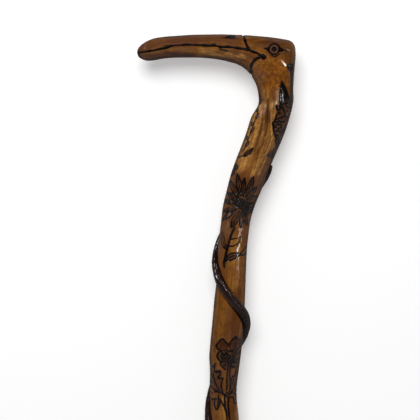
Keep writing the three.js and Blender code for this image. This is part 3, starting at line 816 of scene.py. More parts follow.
def draw_stem_of_beads(sheet):
    """A carved string of beads down the back edge of the neck."""
    sheet.fill([(290.6, 69), (294.4, 69), (294.6, 80), (294, 92), (292.4, 103), (289.6, 107), (290, 98),
                (290.8, 88)], shade=0.85)
    stroke(sheet, [(290.7, 69), (291.1, 80), (290.7, 90), (289.8, 100), (289, 107)], half=0.42)
    for y in np.arange(70.6, 108, 2.5):
        sheet.dot((np.interp(y, (72, 92, 106), (292.7, 292.3, 290.9)), y), 0.95, depth=0.45 * MM)


def draw_sprig(sheet):
    """A small trailing sprig down the inner edge of the neck, and the leaf below it."""
    stem = [(260.2, 97), (258.4, 105), (257.6, 112), (255.2, 119), (253, 126), (250.6, 133), (248, 140),
            (245.2, 147), (242.6, 152)]
    stroke(sheet, stem, half=0.5)
    for row, (x, y) in enumerate(stem[1:-1]):
        side = -1 if row % 2 else 1
        leaf(sheet, (x, y), (x + 2.6 * side + 1.2, y - 4.8 - side), 2.4, shade=0.8, edge=0.42, rib=False)
    sheet.line([(259.4, 94.4, 0.7), (259.7, 96.4, 1.3), (259.4, 99.4, 0.9)], depth=0.5 * MM)
    stroke(sheet, [(237.6, 157.4), (240.5, 156.6), (244.5, 155)], half=0.6)
    leaf(sheet, (243.5, 155.8), (253, 147.8), 4.2, shade=1.0, bend=-0.8, edge=0.6)
    leaf(sheet, (236.2, 169.8), (235.6, 163.6), 3.8, shade=1.0, edge=0.6)
    leaf(sheet, (231.5, 175.8), (235, 169.8), 2.8, shade=0.9, edge=0.5)


def draw_leaf_spray(sheet):
    """A stem with pairs of leaves, for the stretches between the flowers. It is drawn about (228, 376)."""
    stroke(sheet, [(228, 408), (227.4, 394), (228.4, 380), (227.8, 366), (228.4, 354)], half=0.8,
           depth=0.45 * MM)
    for y, reach in ((402, 8), (392, 9.5), (381, 9), (370, 7.5)):
        leaf(sheet, (228, y), (228 - reach, y - 9), 5, shade=0.6, bend=1)
        leaf(sheet, (228.2, y - 4), (228 + reach, y - 13), 5, shade=0.45, bend=-1)
    leaf(sheet, (228.4, 357), (229, 343), 5.4, shade=0.8)


EYE = (274.05, 49.15)

# The line along which the pale, rounded cheek stands proud of the darker side of the head
CHEEK_LINE = (
    (252, 51.6), (256, 51), (261, 51.4), (266, 54.4), (270.4, 57.2), (275, 58), (279, 58.6), (283, 61.4),
    (286.6, 65.6), (289.4, 70.6), (290.8, 77), (290.6, 86),
)


def draw_face(sheet):
    """The beak's and face's lines, the nostril, the eye's rims and corners, and the bud behind the cheek."""
    mouth = (
        (136.8, 55.2, 0.7), (138.4, 53.6, 1.0), (140, 52.6, 0.9), (145, 51.7, 0.7), (150, 50.9, 1.0),
        (155, 50.2, 0.8), (160, 49, 1.1), (165, 48.1, 1.2), (168, 47.1, 1.1), (171, 46, 0.95),
        (176, 45.4, 0.6), (181, 45.1, 0.7), (184, 44.7, 1.05), (189, 44.6, 0.9), (193, 45, 0.6),
        (196, 45, 0.9), (201, 45.2, 0.8), (205, 45.4, 1.3), (209, 45.9, 1.0), (213.5, 45.2, 1.45),
        (217, 46, 0.7), (220, 46.8, 1.2), (224, 46.9, 1.0), (228, 46.8, 1.3), (232, 47.4, 0.7),
        (235.4, 47.8, 1.0), (239, 48.3, 1.25), (243, 48.8, 0.9), (246.6, 49.6, 1.3), (250, 50.6, 1.0),
        (254, 52, 1.3), (257.6, 53.6, 1.0), (260.4, 55.4, 1.4), (263, 56.4, 1.6))
    sheet.line(mouth, depth=1.3 * MM)
    sheet.line([(242.6, 31.8, 1.3), (243.4, 35, 1.1), (244.4, 38.6, 0.8), (245.2, 41.4, 1.1),
                (246.4, 44.2, 0.85), (247.8, 47, 1.3), (249.8, 49.9, 1.2)], depth=1.1 * MM)
    sheet.line([(261.5, 57, 1.0), (258, 57.9, 1.0), (255.2, 59.5, 1.5), (253, 62, 1.0), (251.3, 65, 1.3),
                (250.8, 68, 1.0), (250.9, 71.4, 1.35), (251.4, 74.4, 0.9), (252, 78, 0.8)], depth=1.1 * MM)
    sheet.line([(262.6, 56.2, 2.3), (263.6, 57.2, 2.5)], depth=1.2 * MM)
    sheet.line([(219.4, 49.2, 0.3), (221.6, 49.5, 0.5), (224, 50, 0.35), (225.6, 50.5, 0.6),
                (227.6, 50.7, 0.3)], depth=0.3 * MM)
    thin_hollows(
        sheet, 0.35, 0.1 * MM, 0.5, [(228, 51.2), (233, 51.9), (238, 52.4)],
        [(239, 52), (246, 54), (252, 55.2)], [(230, 54.6), (236, 55), (243, 56.6)])
    sheet.line([(163.4, 45.7, 0.2), (167, 45.6, 0.3), (171, 45.9, 0.3)], depth=0.2 * MM)
    sheet.line([(225.4, 37.6, 0.3), (227.4, 37.1, 0.9), (229.6, 36.8, 0.7), (231.4, 36.2, 1.3),
                (233.2, 36.6, 1.4), (234.8, 37.4, 0.6)], depth=0.9 * MM)
    sheet.line([(229, 37.8, 0.4), (230.8, 38, 0.8), (233, 38.4, 0.4)], depth=0.5 * MM)
    sheet.tint([(221.4, 37.7, 1.4), (225, 37.6, 1.6), (230, 37.8, 2), (236, 38.2, 1.4)], stain=0.8)
    sheet.ring(EYE, 5.0, 0.75, depth=0.5 * MM, start=-20, end=200)
    sheet.ring(EYE, 4.9, 0.4, depth=0.5 * MM, start=200, end=340)
    sheet.line([(269.2, 46.8, 0.5), (271.6, 44.8, 0.7), (274.2, 44, 0.75), (277.6, 45, 0.7),
                (279.4, 46.8, 0.6)])
    sheet.line([(264, 47.9, 0.25), (266.2, 48.4, 0.9), (268.6, 48.9, 2.0), (269.4, 49.2, 2.3)],
               depth=0.6 * MM)
    sheet.line([(286, 51, 0.25), (283.4, 50.2, 0.9), (280.4, 49.6, 2.0), (279, 49.4, 2.5)], depth=0.6 * MM)
    sheet.line([(269.2, 53, 0.3), (271.2, 55.2, 0.35), (274.4, 56.3, 0.45), (277.8, 55.2, 0.35),
                (279.8, 53.2, 0.3)], depth=0.3 * MM)
    sheet.fill([(268.8, 52), (279.6, 52), (278, 55), (274.4, 56.2), (271, 55)], stain=0.55)
    sheet.ring((290.6, 67.1), 2.3, 0.85, depth=0.6 * MM)
    sheet.dot((292.3, 64.3), 1.2)
    sheet.fill([(288, 63.6), (293, 63), (294.4, 69.6), (290, 70.4), (287.6, 68)], shade=0.8)
    sheet.ledge(CHEEK_LINE, depth=1.05 * MM, reach=11)
    sheet.fill([*CHEEK_LINE, (282, 88), (262, 88), (250, 80), (251.6, 66), (254, 61), (262, 58.4)], cheek=1.0)
    sheet.tint([(258, 82, 8), (270, 84, 13), (281, 86, 9)], cheek=1.0)


def tint_head(sheet):
    """The wood's own tones on the head: redder heartwood along the beak, and darker tip and back."""
    sheet.tint([(140, 48, 9), (165, 42, 9), (200, 39, 9), (235, 39, 8)], ruddy=0.9)
    sheet.tint([(140, 57, 5), (160, 55, 6), (190, 56, 5)], ruddy=1.0, stain=0.15)
    sheet.tint([(200, 50, 3), (215, 53, 4), (232, 55.6, 4), (243, 57, 4)], pale=0.85)
    sheet.tint([(136.4, 49, 3.4), (136.6, 53, 4.6), (138.4, 56.6, 3.4)], stain=0.95, ink=0.3)
    sheet.tint([(140, 43.6, 3), (150, 38.4, 2.6), (162, 36.2, 2.2), (190, 34.6, 2.2)], stain=0.5)
    sheet.tint([(164, 51.4, 1.6), (172, 53.4, 2), (184, 54.6, 2.2), (196, 54, 1.8)], stain=0.7)
    sheet.tint([(206, 52.4, 1.4), (222, 53.4, 1.6), (238, 57.6, 1.6), (248, 63, 1.4)], stain=0.45)
    sheet.tint([(256, 43, 1.4), (266, 41.8, 1.8), (274, 42.4, 1.6), (283, 46, 1.4)], stain=0.6)
    sheet.tint([(250, 37, 1.6), (262, 37.4, 2), (276, 39.6, 1.6)], stain=0.35)
    sheet.tint([(256, 60, 3), (261, 62, 4.4), (266, 64, 3)], ruddy=0.9)
    sheet.tint([(264, 62, 4), (273, 61, 4), (282, 66, 5)], pale=0.25)
    sheet.tint([(286, 46, 9), (291, 54, 9), (292, 64, 7)], stain=0.42)
    sheet.tint([(255, 82, 4), (259, 92, 4), (262, 100, 4)], stain=0.15)
    sheet.tint([(266, 44, 5), (278, 41, 5), (287, 42, 5)], ruddy=0.7, stain=0.15)


def tint_shaft(sheet):
    """Tones down the neck and the photographed part of the shaft: paler, ruddy and stained wood, and a
    painted reflection that lightens the shaft low down.
    """
    sheet.tint([(261, 105, 7), (258, 114, 9), (254, 130, 10), (249, 148, 11), (242, 166, 10)], pale=1.0)
    sheet.tint([(272, 104, 5), (272.4, 116, 4), (272, 132, 5), (271, 144, 7), (266, 150, 8), (256, 172, 8)],
               pale=0.95)
    sheet.tint([(265, 90, 7), (266, 104, 8), (265, 124, 8), (262, 142, 8)], pale=0.55)
    sheet.tint([(236, 240, 9), (238, 262, 9), (237, 285, 8)], pale=0.35)
    sheet.tint([(230, 310, 9), (231, 322, 9), (232, 332, 8)], ruddy=0.6)
    sheet.tint([(216, 300, 9), (215, 320, 9), (214, 342, 8)], stain=0.18)
    # Painted reflection: the shaft is lightened low down, most on its right, where the varnish mirrors the
    # light.
    sheet.tint([(224, 400, 6), (224, 420, 7)], pale=0.45)
    sheet.tint([(238, 406, 6), (238, 422, 8)], pale=0.9)


def natural_lines(sheet):
    """The folds where the neck bends, and the grain's dark lines below them."""
    sheet.hollow([(268, 98, 0.6), (267.7, 106, 1.0), (267.4, 113, 1.5), (267.1, 121, 1.7), (266.6, 129, 1.4),
                  (265.4, 136, 0.7)], depth=1.2 * MM, stain=0.85)
    thin_hollows(
        sheet, 0.5, 0.25 * MM, 0.8,
        [(267, 100), (266.4, 109), (265.5, 117), (264.6, 127), (263.8, 136), (262.2, 145), (258, 151),
         (257.6, 158), (254, 170)],
        [(269.4, 111), (269.8, 120), (269.9, 130), (270.4, 138), (268.2, 146), (266, 151), (264.4, 158),
         (260, 168)],
        [(263, 107), (262.4, 118), (260.6, 130), (257, 142), (254, 152)],
        [(274, 100), (273.4, 112), (272.6, 120)])
    thin_hollows(
        sheet, 0.4, 0.1 * MM, 0.45, [(243, 276), (241.6, 300), (240.6, 322)],
        [(217, 306), (215, 330), (214.6, 352)], [(222, 300), (220, 330), (221, 346)],
        [(233.6, 404), (234.6, 422)], [(216.6, 412), (217.2, 430)])


# The motifs that are copied: what draws each, and the pixels that it is drawn about
DAISY = ((draw_daisy, draw_daisy_stem), (238, 220))
POPPY = ((draw_poppy, draw_poppy_leaves), (228, 380))
LEAF_SPRAY = ((draw_leaf_spray,), (228, 376))

# Copies of the motifs on the rest of the shaft: the motif, the height of its middle, the side that it faces
# in degrees from the front, its size, its tilt in degrees and whether it is mirrored
COPIES = (
    (*DAISY, 478 * MM, -4, 0.86, 4, True),
    (*POPPY, 345 * MM, 6, 0.8, -3, True),
    (*LEAF_SPRAY, 213 * MM, -8, 0.8, 2, False),
    (*LEAF_SPRAY, 104 * MM, 10, 0.5, 0, True),
    (*LEAF_SPRAY, 800 * MM, 186, 0.9, -14, False),
    (*DAISY, 684 * MM, 178, 0.92, 0, False),
    (*POPPY, 551 * MM, 184, 0.86, 3, False),
    (*DAISY, 419 * MM, 176, 0.8, -4, True),
    (*POPPY, 286 * MM, 183, 0.76, 2, False),
    (*LEAF_SPRAY, 153 * MM, 180, 0.72, 0, False),
)


TONES = ("shade", "petal", "stain", "pale", "ruddy", "cheek", "ink")
FRONT_DRAWINGS = (
    tint_shaft, natural_lines, draw_foliage, draw_stem_of_beads, draw_sprig, draw_daisy, draw_daisy_stem,
    draw_poppy, draw_poppy_leaves,
)


def draw_marks(places):
    """What the drawings leave at each place: cuts, tones, and the gaps to the nearest line and the groove."""
    count = len(places.stations)
    marks = {name: np.zeros(count) for name in ("cut", "sunk", *TONES)}
    for name in ("burn_gap", "fine_gap"):
        marks[name] = np.full(count, MARK_REACH)
    head = head_sheet(marks, places)
    draw_face(head)
    tint_head(head)
    front = front_sheet(marks, places)
    for drawing in FRONT_DRAWINGS:
        drawing(front)
    for drawings, *lay in COPIES:
        sheet = copy_sheet(marks, places, *lay)
        for drawing in drawings:
            drawing(sheet)
    marks["groove_gap"], marks["groove"] = vine_groove(places)
    return marks


# Making meshes


def plain_tube(sides, rings):
    """A tube one unit in radius, with a ring at each unit of height."""
    tube = bmesh.new()
    bmesh.ops.create_grid(tube, x_segments=sides, y_segments=rings, size=1.0)
    for vert in tube.verts:
        angle = math.pi * vert.co.x
        vert.co = (math.cos(angle), math.sin(angle), round((vert.co.y + 1) / 2 * rings))
    seam = [vert for vert in tube.verts if vert.co.x < -0.999]
    bmesh.ops.remove_doubles(tube, verts=seam, dist=0.001)
    return tube


def tube_spots(tube):
    """The angle and the ring of each of a plain tube's points."""
    spots = np.array([vert.co for vert in tube.verts])
    return np.arctan2(spots[:, 1], spots[:, 0]), spots[:, 2]


def tube_places(tube, stations):
    angles, rings = tube_spots(tube)
    return Places(angles, np.interp(rings, np.arange(len(stations)), stations))


def put(shape, surface):
    for vert, place in zip(shape.verts, surface):
        vert.co = place


def close_ends(shape):
    open_edges = [edge for edge in shape.edges if edge.is_boundary]
    bmesh.ops.holes_fill(shape, edges=open_edges, sides=0)
    bmesh.ops.recalc_face_normals(shape, faces=shape.faces[:])


def linked(shape, name, material):
    """A bmesh as an object of the scene."""
    mesh = bpy.data.meshes.new(name)
    shape.to_mesh(mesh)
    shape.free()
    mesh.materials.append(material)
    made = bpy.data.objects.new(name, mesh)
    bpy.context.scene.collection.objects.link(made)
    return made


def piece_from(shape, name, node, slot, sharp=None):
    """Turns a bmesh into a piece of the stick, in a CAD node's place. Edges past sharp degrees stay crisp."""
    for face in shape.faces:
        face.smooth = True
    piece = linked(shape, name, FINISHES[slot])
    if sharp is not None:
        piece.data.set_sharp_from_angle(angle=math.radians(sharp))
    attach(piece, "root")
    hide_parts(node)
    return piece


def carry(piece, name, values):
    """Keeps a value, or a place, for each point of a piece, for its material to read."""
    kind, field = ("FLOAT_VECTOR", "vector") if values.ndim == 2 else ("FLOAT", "value")
    layer = piece.data.attributes.new(name, kind, "POINT")
    layer.data.foreach_set(field, np.ascontiguousarray(values, np.float32).ravel())


def knife_facets(places):
    """The low, uneven facets that a knife leaves."""
    around, up = places.facing, places.height / MM
    facets = np.sin(3 * around + up / 9) * np.sin(up / 23 + 1.3)
    facets += np.sin(5 * around - up / 6.1) * np.sin(up / 14)
    slow = np.sin(2 * around + up / 31) + 0.6 * np.sin(around - up / 17 + 2)
    return KNIFE_FACET * (0.5 * facets + 0.6 * slow)


def add_ferrule_spigot(tube):
    """Steps the wood's lower end in and carries it down inside the ferrule."""
    rim = [edge for edge in tube.edges if edge.is_boundary and edge.verts[0].co.z < FERRULE_TOP + MM]
    for radius, z in ((FOOT_DIAMETER / 2 - SPIGOT_STEP, FERRULE_TOP), (SPIGOT_FOOT_RADIUS, WOOD_FOOT)):
        made = bmesh.ops.extrude_edge_only(tube, edges=rim)["geom"]
        rim = [part for part in made if isinstance(part, bmesh.types.BMEdge)]
        for vert in {vert for edge in rim for vert in edge.verts}:
            size = radius / math.hypot(vert.co.x, vert.co.y)
            vert.co = (vert.co.x * size, vert.co.y * size, z)


def refine_near_marks(tube, stations):
    """Cuts the tube's faces finer where marks lie: all of them once, and the photographed ones twice."""
    for fine in (False, True):
        marks = draw_marks(tube_places(tube, stations))
        near = marks["fine_gap"] < NEAR_FINE_MARK
        if not fine:
            near |= (marks["burn_gap"] < NEAR_MARK) | (np.abs(marks["groove_gap"]) < NEAR_GROOVE)
        tube.verts.index_update()
        faces = [face for face in tube.faces if any(near[vert.index] for vert in face.verts)]
        edges = {edge for face in faces for edge in face.edges}
        bmesh.ops.subdivide_edges(tube, edges=list(edges), cuts=1, use_grid_fill=True)


def make_wood():
    """The wood: a tube with the marks and the groove cut in it, which also carries the marks' tones."""
    stations = ring_stations()
    tube = plain_tube(WOOD_SIDES, len(stations) - 1)
    refine_near_marks(tube, stations)
    places = tube_places(tube, stations)
    marks = draw_marks(places)
    scraped = SHADE_SCRAPE * marks["shade"] + PETAL_SCRAPE * marks["petal"]
    sunk = np.maximum(marks["cut"] + marks["sunk"] + scraped, marks["groove"])
    above_ferrule = np.clip((places.height - FERRULE_TOP) / FACETS_FADE, 0, 1)
    sunk += knife_facets(places) * above_ferrule
    put(tube, places.surface + places.inward * sunk[:, None])
    add_ferrule_spigot(tube)
    close_ends(tube)
    wood = piece_from(tube, "carved_wood", "stick", "wood")
    spare = len(wood.data.vertices) - len(places.stations)
    for name in ("burn_gap", "groove_gap", *TONES):
        carry(wood, name, np.concatenate([marks[name], np.full(spare, marks[name][0])]))
    flat = np.stack([places.reach * places.facing, places.height, 0 * places.height], axis=1)
    for name, values in (("grain_place", places.grain()), ("sheet_place", flat)):
        carry(wood, name, np.concatenate([values, values[:1].repeat(spare, axis=0)]))


# The vine's mesh, its knots and the height of its bark as shares of its radius. The bark's pattern and the
# knots' half length are in millimetres along the vine, where a turn is taken to be TURN_RUN long
VINE_SIDES = 24
VINE_RINGS = 1000
VINE_KNOT_SHARES = (0.052, 0.147, 0.205, 0.318, 0.437, 0.533, 0.652, 0.771, 0.889)
KNOT_HALF_LENGTH = 3.2
TURN_RUN = 160
BARK_INSET = 0.034
BARK_HIGHEST = 0.115
ENDS_SHARE = 1 / 400
END_ROUNDING = 0.97


def vine_bark(around, share, run):
    """The ridges and knots of the vine's bark, as shares of its radius."""
    bark = 0.022 * np.sin(5 * around + 0.09 * run) + 0.016 * np.sin(8 * around - 0.13 * run + 1)
    bark += 0.02 * np.sin(0.31 * run + np.sin(2 * around)) + 0.012 * np.sin(0.83 * run + 3 * around)
    for knot in VINE_KNOT_SHARES:
        side = 0.5 + 0.5 * np.cos(around - 40 * knot)
        bark += 0.12 * side * np.exp(-(((share - knot) * VINE_TURNS * TURN_RUN / KNOT_HALF_LENGTH) ** 2))
    return np.minimum(bark, BARK_HIGHEST)


def make_vine():
    """The vine's round stem, with ridged bark, a few knots and rounded ends."""
    tube = plain_tube(VINE_SIDES, VINE_RINGS)
    around, rings = tube_spots(tube)
    share = rings / VINE_RINGS
    keys = np.linspace(0, 1, VINE_SAMPLES)

    def along(values):
        return np.stack([np.interp(share, keys, column) for column in values.T], axis=1)

    centre = along(vine_centres)
    ahead = unit(along(vine_ahead))
    outward = along(vine_outward)
    proud = unit(outward - ahead * np.sum(outward * ahead, axis=1)[:, None])
    sideways = np.cross(ahead, proud)
    run = share * VINE_TURNS * TURN_RUN
    ends = np.clip(np.minimum(share, 1 - share) / ENDS_SHARE, 0, 1)
    radius = np.interp(share, keys, vine_radii) * (1 - BARK_INSET + vine_bark(around, share, run))
    radius *= np.sqrt(1 - (1 - ends) ** 2 * END_ROUNDING)
    right, up = radius * np.cos(around), radius * np.sin(around)
    put(tube, centre + proud * right[:, None] + sideways * up[:, None])
    close_ends(tube)
    vine = piece_from(tube, "vine_stem", "vine", "vine")
    carry(vine, "grain_place", np.stack([right, up, run * MM], axis=1))


def turned_shape(profile, sides):
    """A shape turned about Z from pairs of radius and height."""
    shape = bmesh.new()
    points = [shape.verts.new((radius, 0, height)) for radius, height in profile]
    edges = [shape.edges.new(pair) for pair in zip(points, points[1:])]
    bmesh.ops.spin(shape, geom=points + edges, cent=(0, 0, 0), axis=(0, 0, 1), angle=2 * math.pi, steps=sides,
                   use_merge=True)
    bmesh.ops.remove_doubles(shape, verts=shape.verts[:], dist=0.001 * MM)
    bmesh.ops.recalc_face_normals(shape, faces=shape.faces[:])
    return shape


def seated(shape, place, direction):
    """Stands a turned shape at a place, with its Z axis along Y: forward where the direction is -1."""
    turn = Vector((0, 0, 1)).rotation_difference(Vector((0, direction, 0))).to_matrix().to_4x4()
    bmesh.ops.transform(shape, matrix=Matrix.Translation(place) @ turn, verts=shape.verts[:])
    return shape


def arc(centre, radius, start, end, steps=6):
    """Points on an arc of a profile, with angles in degrees."""
    angles = np.radians(np.linspace(start, end, steps))
    return [(centre[0] + radius * math.cos(a), centre[1] + radius * math.sin(a)) for a in angles]


def dome(radius, rise, steps):
    """Points of a domed profile, from its rim to its top."""
    return [(radius * math.cos(a), rise * math.sin(a)) for a in np.radians(np.linspace(0, 90, steps))]


def round_box(node):
    """A CAD node's two corners, and the radius of a round one that faces along Y."""
    low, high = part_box(node)
    return low, high, (high.x - low.x) / 2


# The turned pieces: how many sides they have, how far the eyes and nails stand proud, the seam round a bead,
# where a nail's point begins as a share of its length, the tip's clearance, and its ribs
TUBE_SIDES = 96
RING_SIDES = 64
BEAD_SIDES = 48
NAIL_SIDES = 24
EYE_RISE = 0.6 * MM
PUPIL_RISE = 0.3 * MM
PUPIL_SEAM = 0.12 * MM
NAIL_RISE = 0.7 * MM
NAIL_POINT_SHARE = 0.86
TIP_CLEARANCE = 0.3 * MM
TIP_RIBS = 5


def make_eyes():
    """The horn rings, with rounded crests, and the domed beads in them."""
    for side, direction in (("left", -1), ("right", 1)):
        low, high, outer = round_box(f"{side}_eye_ring")
        pupil = round_box(f"{side}_eye_pupil")[2]
        depth = high.y - low.y - EYE_RISE
        surface = (low.y if direction < 0 else high.y) - direction * EYE_RISE
        place = Vector(((low.x + high.x) / 2, surface, (low.z + high.z) / 2))
        inner = pupil + PUPIL_SEAM
        band = (outer - inner) / 2
        arch = arc((inner + band, 0), band, 0, 180, 9)
        crest = [(radius, height * EYE_RISE / band) for radius, height in arch]
        ring = turned_shape([(inner, -depth), (outer, -depth), *crest, (inner, -depth)], RING_SIDES)
        shares = np.array([math.hypot(vert.co.x, vert.co.y) / outer for vert in ring.verts])
        ring = seated(ring, place, direction)
        ring_piece = piece_from(ring, f"{side}_eye_horn_ring", f"{side}_eye_ring", "horn", sharp=50)
        carry(ring_piece, "ring_share", shares)
        bead = turned_shape([(0, -depth), (pupil, -depth), *dome(pupil, PUPIL_RISE, 9)], BEAD_SIDES)
        bead = seated(bead, place, direction)
        piece_from(bead, f"{side}_eye_bead", f"{side}_eye_pupil", "pupil", sharp=50)


def make_nail(node, name, slot, direction, shank):
    """A domed nail in the place of a CAD nail that points along Y."""
    low, high, head = round_box(node)
    length = high.y - low.y - NAIL_RISE
    surface = high.y - NAIL_RISE if direction > 0 else low.y + NAIL_RISE
    place = Vector(((low.x + high.x) / 2, surface, (low.z + high.z) / 2))
    profile = [(0, -length), (shank, -length * NAIL_POINT_SHARE), (shank, 0), *dome(head, NAIL_RISE, 6)]
    nail = seated(turned_shape(profile, NAIL_SIDES), place, direction)
    piece_from(nail, name, node, slot, sharp=40)


def make_ferrule():
    """The ferrule, with a rolled rim at its top, two pairs of turned lines and a rounded foot."""
    low, high, top_radius = round_box("ferrule")
    foot_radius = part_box("ferrule_plug")[1].x
    wall = 0.9 * MM
    rim = 0.45 * MM
    line = 0.35 * MM
    line_depth = 0.22 * MM
    line_drops = (16, 14.5, 4, 2.6)

    def outer(z):
        share = (z - low.z) / (high.z - low.z)
        return foot_radius + share * (top_radius - foot_radius)

    profile = [(outer(low.z) - wall, low.z), (outer(low.z) - rim, low.z)]
    profile += arc((outer(low.z) - rim, low.z + rim), rim, -90, 0)
    for drop in line_drops:
        z = high.z - drop * MM
        profile += [(outer(z - line), z - line), (outer(z) - line_depth, z), (outer(z + line), z + line)]
    profile += arc((outer(high.z) - rim, high.z - rim), rim, 0, 90)
    profile += [(outer(high.z) - wall, high.z), (outer(low.z) - wall, low.z)]
    piece_from(turned_shape(profile, TUBE_SIDES), "brass_ferrule", "ferrule", "brass", sharp=32)


def make_rubber_tip():
    """The rubber tip: a ribbed sleeve, a flared foot, and a tread of rings inside a flat outer band."""
    foot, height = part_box("rubber_tip")[1].x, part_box("rubber_tip")[1].z
    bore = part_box("tip_washer")[1].x + TIP_CLEARANCE
    mouth = bore + (ferrule_high.x - bore + TIP_CLEARANCE) * 0.55
    edge = 1 * MM
    body = bore + 3 * MM
    top = mouth + 1.7 * MM
    mouth_edge = 0.6 * MM
    foot_side = 7.4 * MM
    foot_top = 8 * MM
    flare = ((1.2 * MM, 10.4 * MM), (0.3 * MM, 12 * MM))
    floor_thickness = 8 * MM
    bore_top = 14 * MM
    sleeve_foot = 13 * MM
    plain_height = 15 * MM
    rib_depth = 0.55 * MM
    tread_radii = (2.6, 5.6, 8.6)
    tread_depth = 1.1 * MM
    tread_width = 1.3 * MM
    profile = [(0, 0), (tread_radii[0] * MM, 0)]
    for radius in tread_radii:
        inner, outer = radius * MM, radius * MM + tread_width
        profile += [(inner, tread_depth), (outer, tread_depth), (outer, 0)]
    profile += [(foot - edge, 0), *arc((foot - edge, edge), edge, -90, 0, 5)]
    profile += [(foot, foot_side), *arc((foot - edge, foot_top), edge, 10, 80, 5)]
    profile += [(body + proud, z) for proud, z in flare]
    rib_pitch = (height - plain_height) / TIP_RIBS
    for rib in range(TIP_RIBS):
        z = sleeve_foot + rib * rib_pitch
        radius = body + (z - sleeve_foot) / (height - sleeve_foot) * (top - body)
        for inset, share in ((rib_depth, 0.2), (rib_depth, 0.42), (0, 0.5), (0, 0.94)):
            profile.append((radius - inset, z + share * rib_pitch))
    profile += [*arc((top - mouth_edge, height - mouth_edge), mouth_edge, 0, 90, 4), (mouth, height)]
    profile += [(bore, bore_top), (bore, floor_thickness), (0, floor_thickness)]
    piece_from(turned_shape(profile, TUBE_SIDES), "rubber_foot", "rubber_tip", "rubber", sharp=30)


# Finishes


def colour(red, green, blue):
    """A colour given as it looks on a screen, from 0 to 255, as the light value that a shader takes."""
    def light(value):
        value /= 255
        return value / 12.92 if value <= 0.04045 else ((value + 0.055) / 1.055) ** 2.4

    return (light(red), light(green), light(blue), 1.0)


def cleared(data):
    """The node tree of a new material or world, with no nodes in it."""
    data.use_nodes = True
    data.node_tree.nodes.clear()
    return data.node_tree


def join(tree, value, target):
    if isinstance(value, bpy.types.NodeSocket):
        tree.links.new(value, target)
    else:
        target.default_value = value


def add(tree, kind, inputs=(), **settings):
    """A new node, with each input either joined to another node's output or given a value."""
    made = tree.nodes.new(kind)
    for key, value in settings.items():
        setattr(made, key, value)
    for key, value in dict(inputs).items():
        join(tree, value, made.inputs[key])
    return made


def calc(tree, operation, first, second=0.0, clamp=False):
    return add(tree, "ShaderNodeMath", {0: first, 1: second}, operation=operation, use_clamp=clamp).outputs[0]


def times(tree, first, second):
    return calc(tree, "MULTIPLY", first, second)


def eased(tree, value, low, high, to_low=0.0, to_high=1.0):
    """A smooth change from to_low to to_high as the value goes from low to high."""
    inputs = {"Value": value, "From Min": low, "From Max": high, "To Min": to_low, "To Max": to_high}
    return add(tree, "ShaderNodeMapRange", inputs, interpolation_type="SMOOTHSTEP").outputs["Result"]


def blended(tree, share, first, second):
    return add(tree, "ShaderNodeMix", {"Factor": share, 6: first, 7: second}, data_type="RGBA").outputs[2]


def tinted(tree, tone, share, *screen_colour):
    """A tone with a colour laid over it, as strongly as the share says at each place."""
    return blended(tree, share, tone, colour(*screen_colour))


def noise(tree, place, scale, detail=4.0, roughness=0.55, distortion=0.0):
    inputs = {"Vector": place, "Scale": scale, "Detail": detail, "Roughness": roughness,
              "Distortion": distortion}
    return add(tree, "ShaderNodeTexNoise", inputs).outputs["Fac"]


def mapped(tree, place, **settings):
    return add(tree, "ShaderNodeMapping", {"Vector": place, **settings}).outputs[0]


def carried(tree, name, output="Fac"):
    """A value, or with output Vector a place, that the mesh carries."""
    return add(tree, "ShaderNodeAttribute", attribute_name=name).outputs[output]


def object_place(tree):
    return add(tree, "ShaderNodeTexCoord").outputs["Object"]


def bumped(tree, height, distance, strength, normal=None):
    inputs = {"Height": height, "Distance": distance, "Strength": strength}
    if normal is not None:
        inputs["Normal"] = normal
    return add(tree, "ShaderNodeBump", inputs).outputs[0]


def effect_group(name, inputs, outputs):
    """An empty effect with named inputs and outputs. An input given as None is a place."""
    group = bpy.data.node_groups.new(name, "ShaderNodeTree")
    for title, default in inputs.items():
        kind = "NodeSocketVector" if default is None else "NodeSocketFloat"
        socket = group.interface.new_socket(name=title, in_out="INPUT", socket_type=kind)
        if default is not None:
            socket.default_value = default
    for title in outputs:
        group.interface.new_socket(name=title, in_out="OUTPUT", socket_type="NodeSocketFloat")
    return group, group.nodes.new("NodeGroupInput").outputs, group.nodes.new("NodeGroupOutput").inputs


def grain_effect():
    """Wood grain along Z: broad tones, growth lines, streaks, fine fibres and short pores."""
    inputs = {"Place": None, "Line Width": 0.005, "Waviness": 4.0}
    group, given, out = effect_group("grain", inputs, ("Tone", "Lines", "Streaks", "Fibres", "Pores"))
    place = given["Place"]
    drawn_out = mapped(group, place, Scale=(1, 1, 0.16))
    thin = mapped(group, place, Scale=(1, 1, 0.035))
    off_pith = mapped(group, place, Location=(0.021, 0.008, 0), Rotation=(0.035, -0.05, 0), Scale=(1, 1, 0.2))
    rings = {
        "Vector": off_pith, "Scale": calc(group, "DIVIDE", 1.0, times(group, given["Line Width"], 3.14)),
        "Distortion": given["Waviness"], "Detail": 3.0, "Detail Scale": 1.2, "Detail Roughness": 0.6,
    }
    lines = add(group, "ShaderNodeTexWave", rings, wave_type="RINGS", rings_direction="Z", wave_profile="SAW")
    join(group, noise(group, drawn_out, 55.0, 3.0), out["Tone"])
    join(group, lines.outputs["Fac"], out["Lines"])
    join(group, noise(group, thin, 330.0, 4.0, 0.6), out["Streaks"])
    join(group, noise(group, thin, 900.0, 5.0, 0.65), out["Fibres"])
    join(group, eased(group, noise(group, drawn_out, 1500.0, 2.0, 0.4), 0.62, 0.72), out["Pores"])
    return group


